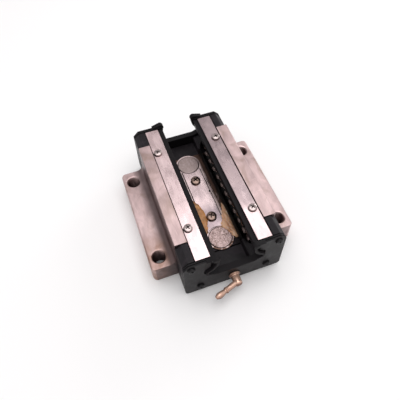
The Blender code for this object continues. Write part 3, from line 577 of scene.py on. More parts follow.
def strip_painted_shade(paint):
    """Painted shade, in patches, on the right seal strip beyond its near screw."""
    film_and_shade = paint.ranged(paint.spots(11.0, detail=4.0, warp=0.9), 0.40, 0.60, 0.75, 1.0)
    return paint.product(film_and_shade, paint.rising("X", 0.0, 2.0), paint.rising("Y", -33.0, -25.0))


def rim_shade(paint):
    """Where oil darkens the plate's long edges and its near rounded end."""
    edge = paint.ranged(paint.place("X", True), PLATE_X - 1.2, PLATE_X, 0.0, 0.8)
    patches = paint.ranged(paint.spots(2.6, detail=3.0, warp=0.7), 0.42, 0.52, 0.15, 1.0)
    end = paint.falling("Y", -PLUG_Y - 4.5, -PLUG_Y - 2.0)
    return paint.combined(edge, paint.product(end, patches), "MAXIMUM")


def steel(name, light, dark, roughness, grain, stain=None, oil_and_shade=()):
    """Worked steel: grain along the rail, cloudy patches, fine scratches and, on request, stains, oil and
    painted shade.
    """
    paint = Paint(name, Metallic=1.0)
    cloud = paint.spots(9.0, (1, 1.6, 1), detail=5.0, warp=0.6)
    tone = paint.mixed(paint.ranged(cloud, 0.35, 0.68, 0.0, 1.0), dark, light)
    lines = paint.spots(grain, (1, 26, 1), detail=5.0)
    tone = paint.mixed(paint.ranged(lines, 0.3, 0.7, 0.30, 0.0), tone, dark, "MULTIPLY")
    cuts = scratches(paint, 1.1, (1, 9, 1), 0.33)
    crossing = scratches(paint, 0.9, (14, 1.4, 1), 0.30)
    marks = paint.combined(cuts, crossing, "MAXIMUM")
    tone = paint.mixed(paint.product(marks, 0.35), tone, light)
    if stain:
        film_and_shade = paint.ranged(paint.spots(14.0, (1, 1.3, 1), detail=7.0, warp=1.2), 0.52, 0.70, 0.0, 0.75)
        tone = paint.mixed(film_and_shade, tone, stain)
    # Each pair is a mask and the tone it mixes in; some pairs are oil films, others painted shade.
    for shade, film_and_shade in oil_and_shade:
        tone = paint.mixed(shade(paint), tone, film_and_shade)
    paint.colour(tone)
    patchy = paint.spots(3.2, (1, 3, 1), detail=4.0)
    paint.roughness(paint.ranged(patchy, 0.3, 0.7, roughness - 0.08, roughness + 0.10))
    paint.relief(paint.combined(lines, paint.product(marks, 0.4), "SUBTRACT"), 0.012, 0.55)
    return paint.material


def plug_face(name, light, dark, swirl, spread):
    """Cut end of a plug: curling tool marks on rough steel."""
    paint = Paint(name, Metallic=1.0)
    curls = paint.spots(1.7, (0.7, 1.5, 1), detail=3.0, warp=swirl)
    tone = paint.mixed(paint.ranged(curls, 0.5 - spread, 0.5 + spread, 0.0, 1.0), dark, light)
    grit = paint.spots(0.45, detail=3.0)
    tone = paint.mixed(paint.ranged(grit, 0.55, 0.75, 0.0, 0.45), tone, dark, "MULTIPLY")
    paint.colour(tone)
    paint.roughness(paint.ranged(grit, 0.3, 0.7, 0.34, 0.56))
    paint.relief(paint.combined(curls, paint.product(grit, 0.3)), 0.07, 0.8)
    return paint.material


def moulded(name, colour, dusty, roughness, texture=0.25, dust=0.35):
    """Black plastic or rubber, and the painted screw shadows: fine texture, greasy and dusty patches."""
    paint = Paint(name, Specular_IOR_Level=0.14)
    haze = paint.spots(6.0, detail=6.0, warp=0.8)
    tone = paint.mixed(paint.ranged(haze, 0.48, 0.75, 0.0, dust), colour, dusty)
    specks = paint.spots(0.5, detail=2.0)
    tone = paint.mixed(paint.ranged(specks, 0.68, 0.74, 0.0, 0.4), tone, dusty)
    paint.colour(tone)
    paint.roughness(paint.ranged(haze, 0.35, 0.7, roughness - 0.10, roughness + 0.14))
    paint.relief(paint.spots(texture, detail=3.0), 0.010, 0.5)
    return paint.material


def blackened(name):
    """Black-oxide steel sheet, worn lighter in places."""
    paint = Paint(name, Metallic=0.3, Specular_IOR_Level=0.2)
    wear = paint.spots(5.0, (1, 1, 1.4), detail=7.0, warp=0.5)
    tone = paint.mixed(paint.ranged(wear, 0.5, 0.78, 0.0, 0.5), (0.010, 0.009, 0.010), (0.045, 0.036, 0.038))
    lines = scratches(paint, 0.8, (9, 1, 1), 0.30)
    paint.colour(paint.mixed(paint.product(lines, 0.3), tone, (0.14, 0.115, 0.115)))
    paint.roughness(paint.ranged(wear, 0.3, 0.75, 0.36, 0.56))
    paint.relief(paint.spots(0.3, detail=4.0), 0.006, 0.4)
    return paint.material


def recess_painted_shade(paint, head_radius, head_height):
    """Painted shade deep in the cross recess of a screw head."""
    radius = paint.distance(paint.place("X"), paint.place("Y"))
    inside = paint.ranged(radius, head_radius * 0.64, head_radius * 0.70, 1.0, 0.0)
    deep = paint.ranged(paint.place("Z"), head_height * 0.58, head_height * 0.86, 0.92, 0.0)
    return paint.product(inside, deep)


def polished(name, colour, roughness, head=None):
    """Bright small parts: faint handling marks and, on a screw of a given head, painted shade in its recess.
    """
    paint = Paint(name, Metallic=1.0)
    film_and_shade = paint.spots(1.6, detail=5.0, warp=0.7)
    dull = tuple(0.62 * part for part in colour)
    tone = paint.mixed(paint.ranged(film_and_shade, 0.45, 0.75, 0.0, 0.7), colour, dull)
    paint.colour(paint.mixed(recess_painted_shade(paint, *head), tone, OIL_AND_SHADE) if head else tone)
    paint.roughness(paint.ranged(film_and_shade, 0.3, 0.7, roughness, roughness + 0.14))
    paint.relief(paint.spots(0.25, detail=3.0), 0.004, 0.35)
    return paint.material


def underside_painted_shade(paint):
    """Painted shade on the sides and undersides of a part, from the way its surface faces."""
    parts = paint.node("SeparateXYZ", {0: paint.node("NewGeometry").outputs["Normal"]})
    return paint.ranged(parts.outputs["Z"], 0.30, 0.86, 0.9, 0.0)


def brass(name):
    """Coppery brass with darker, duller patches, and painted shade on its sides and underside."""
    paint = Paint(name, Metallic=0.62)
    tarnish = paint.spots(2.4, detail=6.0, warp=1.0)
    tone = paint.mixed(paint.ranged(tarnish, 0.42, 0.72, 0.0, 0.8), (0.88, 0.58, 0.45), (0.36, 0.18, 0.12))
    rings = paint.spots(0.12, (3, 1, 3), detail=2.0)
    tone = paint.mixed(paint.ranged(rings, 0.4, 0.7, 0.0, 0.25), tone, (0.30, 0.17, 0.10))
    # Painted shade: the sides and underside are mixed towards dark brown.
    paint.colour(paint.mixed(underside_painted_shade(paint), tone, (0.13, 0.060, 0.042)))
    paint.roughness(paint.ranged(tarnish, 0.3, 0.7, 0.24, 0.40))
    paint.relief(rings, 0.006, 0.4)
    return paint.material


def grease(name, thin, thick):
    """Old grease, glossy, darker where it is thin."""
    paint = Paint(name, Coat_Weight=0.35, Coat_Roughness=0.15, IOR=1.47, Subsurface_Weight=0.25,
                  Subsurface_Scale=0.6 * MM, Subsurface_Radius=(1.0, 0.45, 0.2))
    depth = paint.spots(3.0, (1, 2, 1), detail=3.0, warp=0.9)
    tone = paint.mixed(paint.ranged(depth, 0.35, 0.65, 0.0, 1.0), thin, thick)
    # Darker further out, from the plate's edge towards the legs.
    towards_wall = paint.ranged(paint.place("X", True), LEG_X - 7.4, LEG_X - 4.4, 0.0, 0.95)
    paint.colour(paint.mixed(towards_wall, tone, (0.045, 0.026, 0.020)))
    paint.roughness(paint.ranged(depth, 0.3, 0.7, 0.26, 0.44))
    paint.relief(depth, 0.06, 0.4)
    return paint.material


# Dark tones mixed in by the shades: oil films, and painted shade on the block's sides and ends, the cover
# strip, the right seal strip and the near end of the left flange.
OIL_AND_SHADE, BORE_DARK, PAINTED_SHADE_TONE = (0.050, 0.034, 0.028), (0.17, 0.115, 0.11), (0.085, 0.062, 0.063)
COVER_SHADE_TONE, STRIP_SHADE_TONE, BROWN_OIL = (0.31, 0.245, 0.26), (0.38, 0.30, 0.31), (0.12, 0.072, 0.057)
FLANGE_SHADE_TONE, FLOOR_END_BLACK = (0.32, 0.20, 0.16), (0.022, 0.018, 0.020)
M_BLOCK = steel("ground_steel", (0.73, 0.56, 0.555), (0.50, 0.38, 0.375), 0.38, 0.16, (0.37, 0.265, 0.23),
                ((flange_painted_shade, FLANGE_SHADE_TONE), (side_painted_shade, PAINTED_SHADE_TONE), (end_painted_shade, PAINTED_SHADE_TONE), (bore_shade, BORE_DARK),
                 (seat_shade, OIL_AND_SHADE), (floor_shade, BROWN_OIL), (floor_end_shade, FLOOR_END_BLACK)))
M_STRIP = steel("strip_sheet", (0.87, 0.695, 0.70), (0.67, 0.53, 0.535), 0.27, 0.11,
                oil_and_shade=((strip_painted_shade, STRIP_SHADE_TONE),))
M_PLATE = steel("plate_sheet", (0.88, 0.71, 0.71), (0.59, 0.475, 0.485), 0.24, 0.13,
                oil_and_shade=((cover_painted_shade, COVER_SHADE_TONE),))
M_PLATE_BASE = steel("plate_base", (0.88, 0.71, 0.70), (0.60, 0.48, 0.47), 0.30, 0.13,
                     oil_and_shade=((rim_shade, BROWN_OIL),))
M_PLUG_NEAR = plug_face("rough_plug", (0.60, 0.455, 0.44), (0.24, 0.165, 0.155), 2.6, 0.10)
M_PLUG_FAR = plug_face("dull_plug", (0.44, 0.35, 0.34), (0.32, 0.25, 0.24), 0.8, 0.20)
M_SCREW = polished("zinc_screw", (0.48, 0.40, 0.39), 0.16, STRIP_HEAD)
M_OILY_SCREW = polished("oily_screw", (0.25, 0.175, 0.145), 0.17, PLATE_HEAD)
M_BALL = polished("ball_chrome", (0.105, 0.08, 0.075), 0.12)
M_BLACK_STEEL = blackened("black_oxide")
M_CAP = moulded("cap_plastic", (0.013, 0.011, 0.013), (0.055, 0.042, 0.052), 0.44)
M_RETAINER = moulded("retainer_plastic", (0.005, 0.005, 0.005), (0.022, 0.018, 0.016), 0.42, 0.35)
M_CAGE = moulded("cage_resin", (0.005, 0.005, 0.005), (0.022, 0.018, 0.014), 0.42, 0.3)
M_RUBBER = moulded("seal_rubber", (0.006, 0.005, 0.006), (0.026, 0.021, 0.024), 0.55, 0.4)
# Material of the dark rings painted as shadows under the screw heads.
M_SHADOW_RING = moulded("old_grime", (0.012, 0.008, 0.007), (0.05, 0.032, 0.026), 0.40, 0.2, 0.5)
M_BRASS = brass("nipple_brass")
M_GREASE = grease("amber_grease", (0.30, 0.12, 0.04), (0.64, 0.29, 0.09))
M_OLD_GREASE = grease("old_grease", (0.46, 0.235, 0.13), (0.92, 0.55, 0.33))


# ---- block

def block_outline():
    """Outline of the block across the rail, with its flanges, legs and raceways."""
    floor_row, mouth_row = (ROW_X, ROWS["floor"]), (ROW_X, ROWS["mouth"])
    slot_angle = math.degrees(math.acos((SLOT_MOUTH_X - ROW_X) / RACEWAY_RADIUS))
    floor_angle = math.degrees(math.asin((CHANNEL_FLOOR - floor_row[1]) / RACEWAY_RADIUS))
    leg_angle = math.degrees(math.acos((LEG_X - ROW_X) / RACEWAY_RADIUS))
    half = [(0, 0), (FLANGE_X - CHAMFER, 0), (FLANGE_X, CHAMFER), (FLANGE_X, FLANGE_TOP - CHAMFER),
            (FLANGE_X - CHAMFER, FLANGE_TOP)]
    half += arc((BODY_X + FLANGE_FILLET, FLANGE_TOP + FLANGE_FILLET), FLANGE_FILLET, 270, 180, 14)
    half += [(BODY_X, BLOCK_TOP - TOP_CHAMFER), (BODY_X - TOP_CHAMFER, BLOCK_TOP)]
    half += [(STRIP_SEAT[0], BLOCK_TOP), STRIP_SEAT, (LIP_SEAT[0], STRIP_SEAT[1]), LIP_SEAT]
    half.append((LEG_X, LIP_SEAT[1]))
    half += arc(mouth_row, RACEWAY_RADIUS, leg_angle, -slot_angle, 20)
    half += [(SLOT_MOUTH_X, SLOT_Z[1]), (SLOT_X, SLOT_Z[1]), (SLOT_X, SLOT_Z[0]), (SLOT_MOUTH_X, SLOT_Z[0])]
    half += arc(floor_row, RACEWAY_RADIUS, slot_angle, -180 - floor_angle, 24)
    return both_sides(half + [(0, CHANNEL_FLOOR)])


def thread_tool(centre, low, high):
    """Tool for a threaded hole along Z: a rod whose wall is a helical ridge."""
    steps, levels_per_pitch = BOLT_STEPS, 6
    levels = round((high - low) / THREAD_PITCH * levels_per_pitch)
    shape = bmesh.new()
    rings = []
    for level in range(levels + 1):
        height = low + (high - low) * level / levels
        ring = []
        for i in range(steps):
            turn = i / steps
            phase = (height / THREAD_PITCH - turn) % 1.0
            radius = BOLT_RADIUS + (THREAD_RADIUS - BOLT_RADIUS) * abs(2 * phase - 1)
            angle = 2 * math.pi * turn
            ring.append(shape.verts.new(Vector((centre[0] + radius * math.cos(angle),
                                                centre[1] + radius * math.sin(angle), height)) * MM))
        rings.append(ring)
    skin(shape, rings)
    return finished(shape, "thread")


def build_block():
    """Steel block with rounded flange corners and four threaded holes."""
    mesh = prism("block", block_outline(), *BLOCK_LENGTH)
    inner_x, inner_y = FLANGE_X - FLANGE_CORNER, BLOCK_LENGTH[1] - FLANGE_CORNER
    corner = [(FLANGE_X + 1, inner_y), (FLANGE_X + 1, BLOCK_LENGTH[1] + 1), (inner_x, BLOCK_LENGTH[1] + 1)]
    corner += arc((inner_x, inner_y), FLANGE_CORNER, 90, 0, 12)
    tools = [prism("corner", [(side * x, end * y) for x, y in corner], -1, FLANGE_TOP + 1, "Z")
             for side in (LEFT, RIGHT) for end in (NEAR, FAR)]
    mesh = rounded(carved(mesh, tools), 0.25, 3)
    sink = BOLT_SINK - BOLT_RADIUS
    tools = []
    for x, y in BOLT_PLACES:
        tools.append(thread_tool((x, y), -0.5, FLANGE_TOP + 0.5))
        tools.append(rod(BOLT_SINK + 0.5, -0.5, sink, "Z", (x, y, 0), BOLT_RADIUS, BOLT_STEPS))
        tools.append(rod(BOLT_RADIUS, FLANGE_TOP - SINK_DEPTH, FLANGE_TOP + SINK_DEPTH, "Z", (x, y, 0),
                         BOLT_SINK + sink, BOLT_STEPS))
    for side in (LEFT, RIGHT):
        low, high = BLOCK_LENGTH
        tools += [rod(RETURN_BORE, low - 1, high + 1, "Y", (side * RETURN_X, 0, z)) for z in ROWS.values()]
        tools += hole_pair(THREAD_HOLE, *STRIP_HOLE_Z, side * STRIP_SCREW[0], STRIP_SCREW[1], 20)
    tools += hole_pair(PLUG_SEAT, *PLUG_SEAT_Z, 0, PLUG_Y, 64)
    tools += hole_pair(SCREW_HOLE, *PLATE_HOLE_Z, 0, PLATE_SCREW_Y, 20)
    mesh = carved(mesh, tools)
    stand_in("carriage_block", mesh, "block_steel", M_BLOCK)


# ---- end caps, seals and covers

def end_outline(opening):
    """Outline shared by the caps, seals and covers, around an opening given from mouth to floor."""
    half = [(0, CAP_LOW)]
    half += arc((BODY_X - CAP_CORNER, CAP_LOW + CAP_CORNER), CAP_CORNER, 270, 360, 12)
    half += [(BODY_X, CAP_HIGH - CAP_CHAMFER), (BODY_X - CAP_CHAMFER, CAP_HIGH)]
    return both_sides(half + list(opening))


def screw_places():
    """Place (x, z) of each of an end's four screws, by side and level."""
    return {(side_name, level): (side * x, z)
            for side_name, side in SIDES.items() for level, (x, z) in END_SCREWS.items()}


def build_end(end_name, end):
    """End cap, rubber seal and cover plate of one end."""
    seats = [(STRIP_SEAT[0], CAP_HIGH), STRIP_SEAT, (LIP_SEAT[0], STRIP_SEAT[1]), LIP_SEAT]
    cap = prism("cap", end_outline(seats + list(CAP_RAIL_HEAD)), *span(end, *CAP_Y))
    cap = rounded(cap, 0.45, 3)
    outward = "Y" if end == FAR else "-Y"
    bores = [rod(THREAD_HOLE, *BORE_Y, outward, (x, 0, z), steps=20) for x, z in screw_places().values()]
    port = rod(PORT_RADIUS, *PORT_Y, outward, (0, 0, PORT_Z), steps=40)
    radius, half = TURN_POCKET
    pockets = [rod(radius, z - half, z + half, "Z", (side * TURN_X, end * BLOCK_LENGTH[1], 0), steps=48)
               for side in (LEFT, RIGHT) for z in ROWS.values()]
    seam = [prism("seam", mirrored(rectangle(SEAM_X, SEAM_Z), side), *span(end, *SEAM_Y))
            for side in (LEFT, RIGHT)]
    cap = carved(cap, [*bores, port, *pockets, *seam])
    stand_in(f"end_cap_{end_name}", cap, "cap_plastic", M_CAP)

    seal = rounded(prism("seal", end_outline(SEAL_EDGE), *span(end, *SEAL_Y)), 0.2)
    rim_outline = both_sides([*reversed(SEAL_EDGE), *RIM_OUTSIDE])
    rim = rounded(prism("rim", rim_outline, *span(end, *RIM_Y)), 0.35, 3)
    horn_x, horn_z = HORN_PLACE
    horns = [turned("horn", HORN, 32, along(outward, (side * horn_x, 0, horn_z))) for side in (LEFT, RIGHT)]
    ramps = [rounded(prism("ramp", mirrored(HORN_RAMP, side), *span(end, *RAMP_Y)), 0.2)
             for side in (LEFT, RIGHT)]
    seal = carved(seal, [rim, *horns, *ramps], "UNION")
    seal = carved(seal, [*bores, port])
    stand_in(f"end_seal_{end_name}", seal, "seal_rubber", M_RUBBER)

    cover = rounded(prism("cover", end_outline(COVER_OPENING), *span(end, *COVER_Y)), 0.22, 3)
    cover = carved(cover, [*bores, port])
    stand_in(f"end_cover_{end_name}", cover, "black_steel", M_BLACK_STEEL)


# ---- screws

def screw_mesh(name, head_radius, head_height, shank_radius, shank_length):
    """Pan-head screw with a cross recess; the head rests on Z = 0 and the shank points down."""
    profile = [(0, head_height)]
    for share in (0.25, 0.45, 0.62, 0.76, 0.87, 0.95):
        drop = head_height * 0.42 * (1 - math.sqrt(1 - (share * 0.98) ** 2))
        profile.append((head_radius * share, head_height - drop))
    profile += [(head_radius, head_height * 0.5), (head_radius, 0.12), (head_radius - 0.12, 0)]
    profile += [(shank_radius, 0)]
    profile += grooves(shank_radius, shank_radius - 0.22, -0.5, -shank_length + 0.6, 0.15, 0.45)
    profile += [(shank_radius, -shank_length + 0.5), (shank_radius - 0.5, -shank_length), (0, -shank_length)]
    head = turned(name, profile, 40)
    tools = []
    for turn in (0, math.pi / 2):
        shape = bmesh.new()
        arm, web = head_radius * 0.60, head_radius * 0.13
        low, high = head_height * 0.22, head_height + 0.4
        rings = []
        for z, reach, half in ((low, arm * 0.45, web * 0.7), (high, arm * 1.12, web * 1.15)):
            rings.append([shape.verts.new(Vector((x, y, z)) * MM)
                          for x, y in rectangle((-reach, reach), (-half, half))])
        skin(shape, rings)
        shape.transform(Matrix.Rotation(turn, 4, "Z"))
        tools.append(finished(shape, "recess"))
    return carved(head, tools)


def build_shadow_ring(name, head_radius, drift, place):
    """Dark ring painted as the shadow around the foot of a screw head, wider on the side where the shadow
    falls.
    """
    low, high = -0.04, 0.10
    outline = circle((place[0] - drift, place[1] - drift * 0.6), head_radius + 0.12, 40)
    ring = prism(name, outline, place[2] + low, place[2] + high, "Z")
    hole = rod(head_radius - 0.5, -1, 1, "Z", place, steps=40)
    piece(name, rounded(carved(ring, [hole]), 0.05, 1), "seal_rubber", M_SHADOW_RING)


def build_screws():
    """Strip, plate and end screws; the strip and plate screws each have their cross at its own angle."""
    strip = screw_mesh("strip_screw", *STRIP_HEAD, *STRIP_SHANK)
    plate = screw_mesh("plate_screw", *PLATE_HEAD, *PLATE_SHANK)
    end_mesh = screw_mesh("end_screw", *END_HEAD, *END_SHANK)
    angles = {("left", "near"): 20, ("left", "far"): 65, ("right", "near"): 40, ("right", "far"): 10}
    for end_name, end in ENDS.items():
        place = (0, end * PLATE_SCREW_Y, COVER_STRIP_TOP + SEAT_GAP)
        stand_in(f"inner_plate_screw_{end_name}", plate, "screw_steel", M_OILY_SCREW, place=place,
                 turn=(0, 0, math.radians(28 * end)))
        # A dark ring painted as the shadow of the plate screw's head.
        build_shadow_ring(f"inner_plate_screw_{end_name}_grime", PLATE_HEAD[0], 0.12, place)
        for side_name, side in SIDES.items():
            place = (side * STRIP_SCREW[0], end * STRIP_SCREW[1], STRIP_Z[1] + SEAT_GAP)
            node = f"bottom_seal_screw_{side_name}_{end_name}"
            stand_in(node, strip, "screw_steel", M_SCREW, place=place,
                     turn=(0, 0, math.radians(angles[side_name, end_name])))
            # A dark ring painted as the shadow of the strip screw's head.
            build_shadow_ring(f"{node}_grime", STRIP_HEAD[0], 0.22, place)
        for (side_name, level), (x, z) in screw_places().items():
            stand_in(f"end_screw_{side_name}_{end_name}_{level}", end_mesh, "black_steel", M_BLACK_STEEL,
                     place=(x, end * (COVER_Y[1] + SEAT_GAP), z), turn=(-end * math.pi / 2, 0, 0))


# ---- strips, lips, plate and plugs

def build_strips():
    """Bottom-seal strips of sheet steel over their rubber lips."""
    for name, side in SIDES.items():
        outline = mirrored(rectangle(STRIP_X, (-STRIP_Y, STRIP_Y)), side)
        strip = rounded(prism("strip", outline, *STRIP_Z, "Z"), 0.18, 3)
        holes = hole_pair(SCREW_HOLE, 35, 38, side * STRIP_SCREW[0], STRIP_SCREW[1])
        stand_in(f"bottom_seal_strip_{name}", carved(strip, holes), "strip_steel", M_STRIP)
        lip = rounded(prism("lip", mirrored(LIP, side), -STRIP_Y, STRIP_Y), 0.15)
        stand_in(f"bottom_seal_lip_{name}", lip, "seal_rubber", M_RUBBER)


def build_plate():
    """Inner-seal plate, its raised cover strip and the two floor plugs."""
    base = arc((0, PLUG_Y), PLATE_X, 0, 180, 40) + arc((0, -PLUG_Y), PLATE_X, 180, 360, 40)
    plate = rounded(prism("plate", base, *PLATE_Z, "Z"), 0.14)
    holes = hole_pair(PLUG_SEAT, 13, 16, 0, PLUG_Y, 64)
    screws = hole_pair(SCREW_HOLE, 13, 17, 0, PLATE_SCREW_Y)
    stand_in("inner_seal_plate", carved(plate, holes + screws), "plate_steel", M_PLATE_BASE)
    notch = math.degrees(math.acos(COVER_STRIP_X / COVER_NOTCH))
    cover = arc((0, PLUG_Y), COVER_NOTCH, 360 - notch, 180 + notch, 24)
    cover += arc((0, -PLUG_Y), COVER_NOTCH, 180 - notch, notch, 24)
    strip = rounded(prism("cover_strip", cover, RUBBER_TOP, COVER_STRIP_TOP, "Z"), 0.12, 3)
    nick = rod(COVER_NICK[0], 14.9, 16, "Z", (COVER_STRIP_X, COVER_NICK[1], 0), steps=24)
    piece("inner_seal_cover_strip", carved(strip, screws + [nick]), "plate_steel", M_PLATE)
    wide = [(x + math.copysign(0.5, x), y) for x, y in cover]
    layer = rounded(prism("inner_seal_rubber", wide, PLATE_Z[1] + 0.02, RUBBER_TOP - 0.02, "Z"), 0.06)
    piece("inner_seal_rubber", carved(layer, screws), "seal_rubber", M_RUBBER)
    bottom, top = PLUG_Z
    edge = ((0.55, 0), (0.25, 0.07), (0.06, 0.25), (0, 0.5))
    profile = [(0, top), *((PLUG_RADIUS - inset, top - drop) for inset, drop in edge), (PLUG_RADIUS, bottom),
               (0, bottom)]
    for name, end in ENDS.items():
        plug = turned("plug", profile, 72)
        material = M_PLUG_NEAR if end == NEAR else M_PLUG_FAR
        stand_in(f"floor_plug_{name}", plug, "plug_steel", material, place=(0, end * PLUG_Y, 0))


# ---- ball circuits

def ball(centre):
    """Mesh of one ball."""
    shape = bmesh.new()
    bmesh.ops.create_uvsphere(shape, u_segments=28, v_segments=18, radius=BALL_RADIUS * MM,
                              matrix=Matrix.Translation(Vector(centre) * MM))
    return finished(shape, "ball")


def spacer(centre):
    """Resin spacer between two balls of a row, hollowed to fit both."""
    half = BALL_PITCH / 2
    radii = (0.0, 0.7, 1.4, 2.0, 2.45)
    faces = [(r, half - math.sqrt((BALL_RADIUS + 0.06) ** 2 - r * r)) for r in radii]
    profile = [(r, -depth) for r, depth in faces] + [(r, depth) for r, depth in reversed(faces)]
    return turned("spacer", profile, 24, along("Y", centre))


def bar(size, centre, turn):
    """Mesh of a small rectangular bar, turned about the row."""
    shape = bmesh.new()
    place = Matrix.Rotation(turn, 4, "Y") @ Matrix.Translation(Vector(centre) * MM)
    bmesh.ops.create_cube(shape, size=1.0, matrix=place @ Matrix.Diagonal((*[s * MM for s in size], 1)))
    return finished(shape, "bar")


def build_rows():
    """Ball rows with their resin cages, in the raceways and in the return bores."""
    centres = [(0, (i - (BALL_COUNT - 1) / 2) * BALL_PITCH, 0) for i in range(BALL_COUNT)]
    balls = joined("ball_row", [ball(centre) for centre in centres])
    gaps = [(0, y + BALL_PITCH / 2, 0) for _, y, _ in centres[:-1]]
    length = (BALL_COUNT - 1) * BALL_PITCH + 2.0
    cages = {}
    for lean in (LEFT, RIGHT):
        turn = CAGE_ANGLE * lean
        bars = [bar((0.5, length, 1.2), (reach, 0, 0), turn) for reach in (-CAGE_REACH, CAGE_REACH)]
        bars += [bar((2 * CAGE_REACH, 0.8, 1.0), centre, turn) for centre in gaps]
        cages[lean] = joined(f"cage_{lean}", [spacer(centre) for centre in gaps] + bars)
    for side_name, side in SIDES.items():
        for row, height in ROWS.items():
            lean = side * (LEFT if row == "floor" else RIGHT)
            for kind, x in (("loaded", ROW_X), ("return", RETURN_X)):
                node = f"{kind}_row_{side_name}_{row}"
                body = f"{kind}_balls_{side_name}_{row}"
                place = (side * x, 0, height)
                piece(f"{node}_balls", balls, "ball_steel", M_BALL, [node], body, place)
                piece(f"{node}_cage", cages[lean], "retainer_plastic", M_CAGE, (), body, place)


def build_turns():
    """Balls in the turns and the guides that they run around."""
    turn_radius = (RETURN_X - ROW_X) / 2
    reach, rise = turn_radius * math.cos(TURN_ANGLE), turn_radius * math.sin(TURN_ANGLE)
    radius, inset = TURN_CORE
    core = rod(radius, -reach + inset, reach - inset, "X", steps=12)
    mesh = joined("turn_balls", [ball((-reach, 0, 0)), ball((reach, 0, 0)), core])
    for end_name, end in ENDS.items():
        for side_name, side in SIDES.items():
            for row, height in ROWS.items():
                stand_in(f"turn_balls_{side_name}_{row}_{end_name}", mesh, "ball_steel", M_BALL,
                         place=(side * TURN_X, end * (BLOCK_LENGTH[1] + rise), height))
            dress(f"return_guide_{end_name}_{side_name}", M_RETAINER)


def build_retainers():
    """Moulded bars that keep the balls in the block."""
    for name, side in SIDES.items():
        for place, outline in RETAINERS.items():
            strip = rounded(prism("retainer", mirrored(outline, side), -RETAINER_Y, RETAINER_Y), 0.22)
            stand_in(f"retainer_{place}_{name}", strip, "retainer_plastic", M_RETAINER)


# ---- grease nipple and port screw

def build_nipple():
    """Elbow grease nipple with collar, threaded stem, grooved arm and hollow mouth."""
    profile = [(radius, NIPPLE_END - drop) for radius, drop in NIPPLE_NOSE]
    profile += [(radius, NIPPLE_BASE + rise) for radius, rise in NIPPLE_COLLAR]
    profile.append((STEM_RADIUS, NIPPLE_BASE))
    profile += grooves(STEM_RADIUS, STEM_GROOVE, NIPPLE_BASE - 0.3, STEM_END + 0.5, 0.35, 0.75)
    profile += [(STEM_GROOVE, STEM_END + 0.2), (0, STEM_END)]
    body = turned("nipple", profile, 56, along("-Y", (0, 0, PORT_Z)))
    nipple = carved(body, [turned("arm", NIPPLE_ARM, 48, ARM_PLACE)], "UNION")
    bores = [rod(0.8, 47, ARM_Y, "-Y", (0, 0, PORT_Z), steps=24)]
    for radius, low, high, end_radius in ARM_PASSAGES:
        bores.append(turned("bore", [(0, low), (radius, low), (end_radius, high), (0, high)], 32, ARM_PLACE))
    nipple = carved(nipple, bores)
    stand_in("grease_nipple", nipple, "nipple_brass", M_BRASS)
    dress("nipple_check_ball", M_BALL)


def build_spring():
    """Coil spring behind the nipple's check ball, on a mesh of its own; in the real nipple it shortens as
    the ball is pushed in.
    """
    steps, wire_steps = 24, 10
    count = round(SPRING_TURNS * steps)
    length = SPRING_SPAN[1] - SPRING_SPAN[0]
    shape = bmesh.new()
    rings = []
    for i in range(count + 1):
        angle = 2 * math.pi * i / steps
        outward = Vector((math.cos(angle), math.sin(angle), 0))
        ring = []
        for k in range(wire_steps):
            turn = 2 * math.pi * k / wire_steps
            point = outward * (SPRING_RADIUS + SPRING_WIRE * math.cos(turn))
            point.z = SPRING_SPAN[0] + length * i / count + SPRING_WIRE * math.sin(turn)
            ring.append(shape.verts.new(point * MM))
        rings.append(ring)
    skin(shape, rings)
    shape.transform(ARM_PLACE)
    spring = stand_in("nipple_spring", finished(shape, "spring"), "ball_steel", M_BALL)
    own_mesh(spring)


def build_port_screw():
    """Set screw in the far port, with a hexagon socket and thread rings."""
    profile = [(0, 52.6), (2.3, 52.6), (2.6, 52.3), *grooves(2.7, 2.4, 52.1, 48.3, 0.3, 0.7), (2.3, 47.6),
               (0, 47.6)]
    screw = turned("port_screw", profile, 40, along("Y", (0, 0, PORT_Z)))
    socket = rod(1.6, 50.1, 53.5, "Y", (0, 0, PORT_Z), steps=6)
    stand_in("port_screw_far", carved(screw, [socket]), "black_steel", M_BLACK_STEEL)


# ---- grease on the channel floor

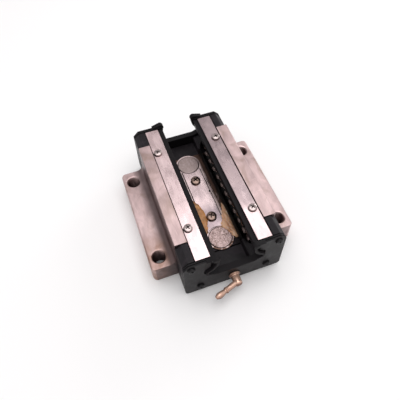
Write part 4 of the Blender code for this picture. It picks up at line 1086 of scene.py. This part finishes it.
def build_grease(name, stations, floor_z, height, material):
    """Smear of grease along the channel, from stations (y, low x, high x), domed and lumpy on top."""
    rows, columns = 72, 22
    shape = bmesh.new()
    tops, lows = [], []
    for row in range(rows + 1):
        place = row / rows * (len(stations) - 1)
        index = min(int(place), len(stations) - 2)
        share = place - index
        ease = share * share * (3 - 2 * share)
        here, there = stations[index], stations[index + 1]
        y = here[0] + (there[0] - here[0]) * share
        left, right = (a + (b - a) * ease for a, b in zip(here[1:], there[1:]))
        ends = math.sqrt(max(0.0, 1 - (2 * row / rows - 1) ** 6))
        top, low = [], []
        for column in range(columns + 1):
            across = 2 * column / columns - 1
            middle, half = (left + right) / 2, (right - left) / 2 * (0.25 + 0.75 * ends)
            x = middle + half * across * (1 + 0.06 * math.sin(2.3 * y + 4 * across))
            lumps = 1 + 0.22 * math.sin(1.1 * x + 0.6 * y) * math.sin(1.5 * x - 0.5 * y)
            lumps += 0.12 * math.sin(2.3 * x + 1.1 * y + math.sin(0.9 * y))
            dome = height * ends * (1 - across ** 4) * max(0.25, lumps)
            top.append(shape.verts.new(Vector((x, y, floor_z + 0.04 + dome)) * MM))
            low.append(shape.verts.new(Vector((x, y, floor_z - 0.25)) * MM))
        tops.append(top)
        lows.append(low)
    for top, next_top, low, next_low in zip(tops, tops[1:], lows, lows[1:]):
        for i in range(columns):
            shape.faces.new((top[i], top[i + 1], next_top[i + 1], next_top[i]))
            shape.faces.new((low[i + 1], low[i], next_low[i], next_low[i + 1]))
        for edge in (0, columns):
            shape.faces.new((top[edge], next_top[edge], next_low[edge], low[edge]))
    for row in (0, rows):
        for i in range(columns):
            shape.faces.new((tops[row][i], lows[row][i], lows[row][i + 1], tops[row][i + 1]))
    piece(name, finished(shape, name), "plate_steel", material)


# ---- camera, floor and light

def build_stage():
    """Camera, pale floor and soft studio light."""
    azimuth, elevation, roll = (math.radians(angle) for angle in CAMERA_ANGLES)
    camera = added("camera", bpy.data.cameras.new("camera"))
    tilt = Matrix.Rotation(math.pi / 2 - elevation, 4, "X")
    camera.matrix_world = Matrix.Rotation(azimuth, 4, "Z") @ tilt @ Matrix.Rotation(-roll, 4, "Z")
    camera.location = Vector(CAMERA_PLACE) * MM
    camera.data.sensor_width = 36.0
    camera.data.lens = CAMERA_LENS
    SCENE.camera = camera

    shape = bmesh.new()
    bmesh.ops.create_grid(shape, x_segments=1, y_segments=1, size=FLOOR_SIZE)
    floor = added("floor", finished(shape, "floor"))
    floor.location.z = -FLOOR_DROP * MM
    paper = Paint("floor_paper", Roughness=0.9, Base_Color=(0.93, 0.925, 0.925, 1.0))
    floor.data.materials.append(paper.material)

    world = bpy.data.worlds.new("studio")
    world.use_nodes = True
    background = world.node_tree.nodes["Background"]
    background.inputs["Color"].default_value = (1.0, 0.975, 0.98, 1.0)
    background.inputs["Strength"].default_value = 0.66
    SCENE.world = world
    for name, place, size, power in LAMPS:
        light = added(name, bpy.data.lights.new(name, "AREA"))
        light.data.size = size
        light.data.energy = power
        light.location = place
        light.rotation_euler = (-Vector(place)).to_track_quat("-Z", "Y").to_euler()
    SCENE.view_settings.view_transform = "Standard"


build_stage()
build_block()
for end_key, end_sign in ENDS.items():
    build_end(end_key, end_sign)
build_strips()
build_plate()
build_screws()
build_rows()
build_turns()
build_retainers()
build_nipple()
build_spring()
build_port_screw()
build_grease("grease_left", GREASE_LEFT, floor_z=15.35, height=0.5, material=M_GREASE)
build_grease("grease_right", GREASE_RIGHT, floor_z=15.0, height=0.8, material=M_OLD_GREASE)
